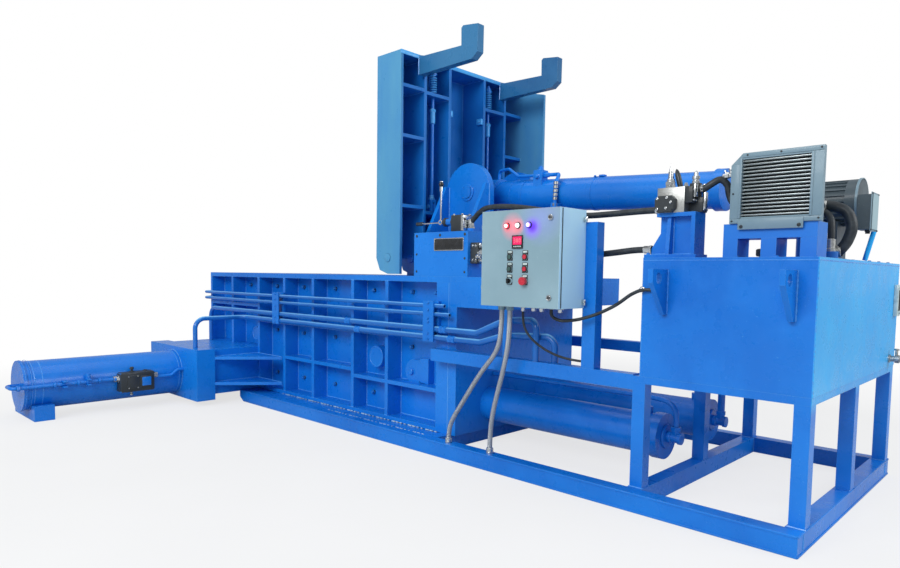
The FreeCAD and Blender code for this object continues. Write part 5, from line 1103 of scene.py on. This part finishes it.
def tank_trim():
    """Corner beads and cover bolts of the tank."""
    edges = Mesh()
    for k, x in enumerate((-766, 40)):
        for y in (-782, 852):
            edges.bead([(x, y, 686), (x, y, 1278)], 4, k + y)
    edges.bead([(-768, -784, 1279), (42, -784, 1279), (42, 854, 1279)], 3, 9)
    edges.finish("tank_corner_beads", "weld_blue")
    cover = Mesh()
    for x in (-340, -160, 0):
        for y in (-690, 300, 520, 760):
            cover.bolt((x, y, TANK_TOP), UP, 16, 9)
    cover.finish("tank_cover_bolts", "blue_paint")


def skid_lips():
    """The rolled edges of the channel sections that make the skid and the stand's side rails."""
    lips = Mesh()
    for z0, z1 in ((1, 11), (89, 99)):
        lips.block(-4650, 36, -884, -879, z0, z1, 2)
        lips.block(39, 44, -878, 878, z0, z1, 2)
    lips.finish("skid_lips", "blue_paint")


# ---- press box
BOLT_ROWS = {-5069: (1060,), -4838: (1060,), -4588: (1060, 650, 250), -4386: (1060, 650, 250),
             -4149: (1060, 650, 250), -3945: (1060, 650, 250), -3682: (1060, 650, 250),
             -3428: (1060, 650, 250), -3173: (1060, 250), -2984: (1060, 250), -2728: (1060, 650),
             -2474: (1060, 650)}
BOSSES = ((-3064, 550, 83), (-4860, 600, 65))
PIPE_NUT = [(0, 14), (2, 20), (18, 20), (20, 17), (34, 17), (36, 20), (52, 20), (54, 14)]
WIDE_PIPE_NUT = [(0, 20), (2, 27), (22, 27), (24, 23), (40, 23), (42, 27), (62, 27), (64, 20)]


def round_nose(mesh, x, z, y0, y1, reach, radius):
    """A plate flat at x, with a round nose towards -X."""
    turns = (math.radians(-90 - 180 * step / 16) for step in range(17))
    nose = [(x - reach + radius + radius * math.cos(a), z + radius * math.sin(a)) for a in turns]
    mesh.slab([(x, z - radius), *nose, (x, z + radius)], y0, y1)


def wall_caps():
    """Bolt heads of the liners and caps of the bosses."""
    bolts = Mesh()
    for x, heights in BOLT_ROWS.items():
        for z in heights:
            bolts.bolt((x, -569, z), FRONT, 24, 15)
    bolts.finish("liner_bolt_heads", "blue_worn")
    bosses = Mesh()
    for x, z, radius in BOSSES:
        bosses.turned((x, -624, z), FRONT, [
            (0, radius), (8, radius), (10, radius - 3), (10, radius - 9), (7, radius - 12), (7, 0)], 40)
    bosses.finish("boss_caps", "blue_paint")


def wall_foot():
    """The skid's side plate and the wall's side lug."""
    plate = Mesh()
    plate.block(-5010, -2240, -806, -600, 86, 97)
    plate.finish("skid_side_plate", "blue_paint")
    lugs = Mesh()
    round_nose(lugs, -2596, 476, -612, -590, 150, 90)
    lugs.turned((-2680, -610, 476), FRONT, [(0, 24), (16, 24), (19, 20), (19, 0)], 24)
    lugs.finish("wall_side_lug", "blue_paint")


def wall_foot_welds():
    """Pale weld spatter along the wall's foot and the skid plate, and rings round the bosses."""
    flecks = Mesh()
    for k in range(44):
        x = -4280 + k * 45
        length = 12 + 8 * (k * 7 % 4)
        flecks.bead([(x, -699, 101), (x + length, -699, 101)], 5, k)
        if k > 18:
            flecks.bead([(x - 15, -806, 99), (x - 15 + length, -806, 99)], 4, k + 50)
    flecks.finish("foot_weld_flecks", "weld_pale")
    rings = Mesh()
    for x, z, radius in BOSSES:
        rings.turned((x, -555, z), FRONT, [(0, radius + 4), (2, radius + 3), (4, radius)], 40)
    rings.finish("boss_weld_rings", "weld_blue")


def pipe_fittings():
    """Bolts of the pipe clamps, and the unions of the long pipes."""
    clamps = Mesh()
    for x in (-4289, -2351):
        for z in (752, 792, 868, 894, 950, 998):
            clamps.bolt((x, -770, z), FRONT, 15, 9)
    clamps.finish("pipe_clamp_bolts", "blue_paint")
    unions = Mesh()
    for x, z in ((-3560, 978), (-2850, 978), (-2780, 921), (-4500, 921)):
        unions.turned((x, -740, z), RIGHT, PIPE_NUT, 6)
    for x, z in ((-3300, 820), (-3180, 762), (-2260, 820), (-2180, 762)):
        unions.turned((x, -740, z), RIGHT, WIDE_PIPE_NUT, 6)
    unions.finish("pipe_unions", "blue_paint")


# ---- main cylinders
MAIN_CYLINDER_Y, MAIN_CYLINDER_Z = 320, 280


def main_cylinder_details():
    """Weld rings, end eyes and ports of both cylinders, and the near one's port pipe."""
    parts = Mesh()
    for y in (-MAIN_CYLINDER_Y, MAIN_CYLINDER_Y):
        parts.turned((-833, y, MAIN_CYLINDER_Z), RIGHT, [(0, 66), (4, 70), (10, 66)], 40)
        parts.turned((-905, y, MAIN_CYLINDER_Z), RIGHT, [(0, 120), (2, 122), (4, 120)], 64)
        parts.turned((-1010, y, MAIN_CYLINDER_Z), RIGHT, [(0, 120), (1.5, 121.4), (3, 120)], 64)
        parts.turned((-823, y, MAIN_CYLINDER_Z), RIGHT, [
            (0, 34), (22, 34), (26, 28), (64, 28), (66, 34), (84, 34), (86, 22), (86, 0)], 28)
        parts.turned((-775, y, 296), UP, [(0, 26), (26, 26), (28, 30), (48, 30), (50, 22)], 6)
    parts.turned((-775, MAIN_CYLINDER_Y, 330), UP, [(0, 22), (150, 22), (300, 46), (304, 46), (317, 46)], 28)
    parts.finish("cylinder_ports", "blue_paint")
    pipe = make_tube("port_pipe", [
        (-775, -320, 335), (-775, -320, 390), (-780, -318, 440), (-820, -310, 478), (-890, -304, 490),
        (-990, -300, 492), (-2150, -300, 492)], 15, 4, 10)
    pipe.data.materials.append(MATERIALS["blue_paint"])


# ---- lid
LID_ROD_X = -2790


def lid_details():
    """Rod fittings, lugs, hinge pin caps and the top strip of the lid."""
    parts = Mesh()
    for y in (-320, 320):
        parts.turned((LID_ROD_X, y - 40, 1706), BACK, [
            (0, 0), (0, 16), (8, 16), (10, 12), (70, 12), (72, 16), (80, 16), (80, 0)], 20)
        for z, sides, profile in ((1760, 6, [(0, 24), (16, 24), (18, 18), (34, 18), (36, 14)]),
                                  (2330, 20, [(0, 14), (4, 21), (110, 21), (114, 14)]),
                                  (2416, 6, [(0, 14), (3, 25), (20, 25), (23, 14)]),
                                  (2700, 6, [(0, 25), (18, 25), (20, 20)])):
            parts.turned((LID_ROD_X, y, z), UP, profile, sides)
    parts.finish("lid_rod_fittings", "blue_light", "lid")
    lugs = Mesh()
    for y0, y1, face, way in ((-174, -148, -148, BACK), (177, 203, 177, FRONT)):
        lugs.block(-2790, -2736, y0, y1, 2404, 2452, 6)
        lugs.bolt((-2762, face, 2428), way, 16, 10)
    lugs.finish("lid_side_lugs", "blue_light", "lid")
    pins = Mesh()
    for y, way in ((-668, 1), (-692, -1), (696, -1), (720, 1)):
        pins.turned((-2865, y, 1308), (0, way, 0), [(0, 31), (5, 30), (7, 26), (7, 0)], 32)
    pins.finish("hinge_pin_caps", "blue_worn", "lid")
    strips = Mesh()
    strips.block(-2738, -2733.5, -693, 721, 2758, 2787, 1.5)
    strips.finish("lid_top_strip", "blue_light", "lid")


# ---- stage and light
def make_stage():
    """A pale floor that fades to white away from the machine."""
    bpy.ops.mesh.primitive_plane_add(size=120, location=(-2.5, 0, -0.0006))
    floor = bpy.context.object
    floor.name = "floor"
    paint = Paint("floor_pale")
    tone = paint.mix(paint.span(paint.noise(0.6, 3), 0.3, 0.7), linear(196, 198, 200), linear(206, 208, 210))
    surface = paint.done(tone, 0.85)
    shine = paint.new("ShaderNodeEmission", {"Color": (1, 1, 1, 1)})
    far = paint.new("ShaderNodeVectorMath", {0: paint.place}, operation="LENGTH")
    fade = paint.span(far.outputs["Value"], 3.4, 6.5, 0.72, 1.0)
    seen = paint.new("ShaderNodeLightPath").outputs["Is Camera Ray"]
    share = paint.math("MULTIPLY", fade, seen)
    blend = paint.new("ShaderNodeMixShader", {0: share, 1: paint.shader.outputs[0], 2: shine.outputs[0]})
    paint.fill(paint.tree.nodes["Material Output"], {"Surface": blend.outputs[0]})
    floor.data.materials.append(surface)


def make_world():
    """Soft light from all round, seen as plain white by the camera."""
    world = bpy.data.worlds.new("soft_room")
    world.use_nodes = True
    tree = world.node_tree
    background, white = tree.nodes["Background"], tree.nodes.new("ShaderNodeBackground")
    for node, colour, strength in ((background, (0.93, 0.96, 1.0, 1), 0.55), (white, (1, 1, 1, 1), 1.0)):
        node.inputs["Color"].default_value = colour
        node.inputs["Strength"].default_value = strength
    ray = tree.nodes.new("ShaderNodeLightPath")
    blend = tree.nodes.new("ShaderNodeMixShader")
    tree.links.new(ray.outputs["Is Camera Ray"], blend.inputs[0])
    tree.links.new(background.outputs[0], blend.inputs[1])
    tree.links.new(white.outputs[0], blend.inputs[2])
    tree.links.new(blend.outputs[0], tree.nodes["World Output"].inputs["Surface"])
    bpy.context.scene.world = world


def soft_box(name, place, target, size, power):
    data = bpy.data.lights.new(name, "AREA")
    data.shape = "RECTANGLE"
    data.size, data.size_y = size
    data.energy = power
    lamp = bpy.data.objects.new(name, data)
    bpy.context.scene.collection.objects.link(lamp)
    lamp.location = place
    lamp.rotation_euler = (Vector(target) - Vector(place)).to_track_quat("-Z", "Y").to_euler()


def make_lights():
    make_world()
    soft_box("key", (-1.0, -9.5, 6.0), (-2.8, 0, 0.9), (7, 4), 680)
    soft_box("side", (4.5, 1.5, 4.0), (-2.0, 0, 1.0), (4, 3), 200)
    soft_box("top", (-3.0, -1.0, 8.5), (-3.0, 0, 0), (7, 4), 105)


make_camera()
CORDS = make_cords()
MATERIALS = make_materials()
dress_nodes()
for paint_name, lines in CORDS.items():
    for line in lines:
        line.data.materials.append(MATERIALS[paint_name])
wall_welds()
lid_welds()
frame_welds()
cabinet_lamps()
cabinet_meter()
control_plates()
lock_details()
door_trim()
cabinet_body_details()
side_valve()
side_pipe_clamps()
side_cylinder_trim()
lid_cylinder_details()
housing_face()
housing_fittings()
hand_valve()
lever_details()
manifold_valves()
manifold_fittings()
manifold_stand()
cooler_face()
cooler_fittings()
fan_guard()
terminal_box()
motor_rings()
pump_head()
hose_ends()
level_gauge()
filler_cap()
tank_trim()
skid_lips()
wall_caps()
wall_foot()
wall_foot_welds()
pipe_fittings()
main_cylinder_details()
lid_details()
make_stage()
make_lights()
bpy.context.scene.view_settings.view_transform = "Standard"
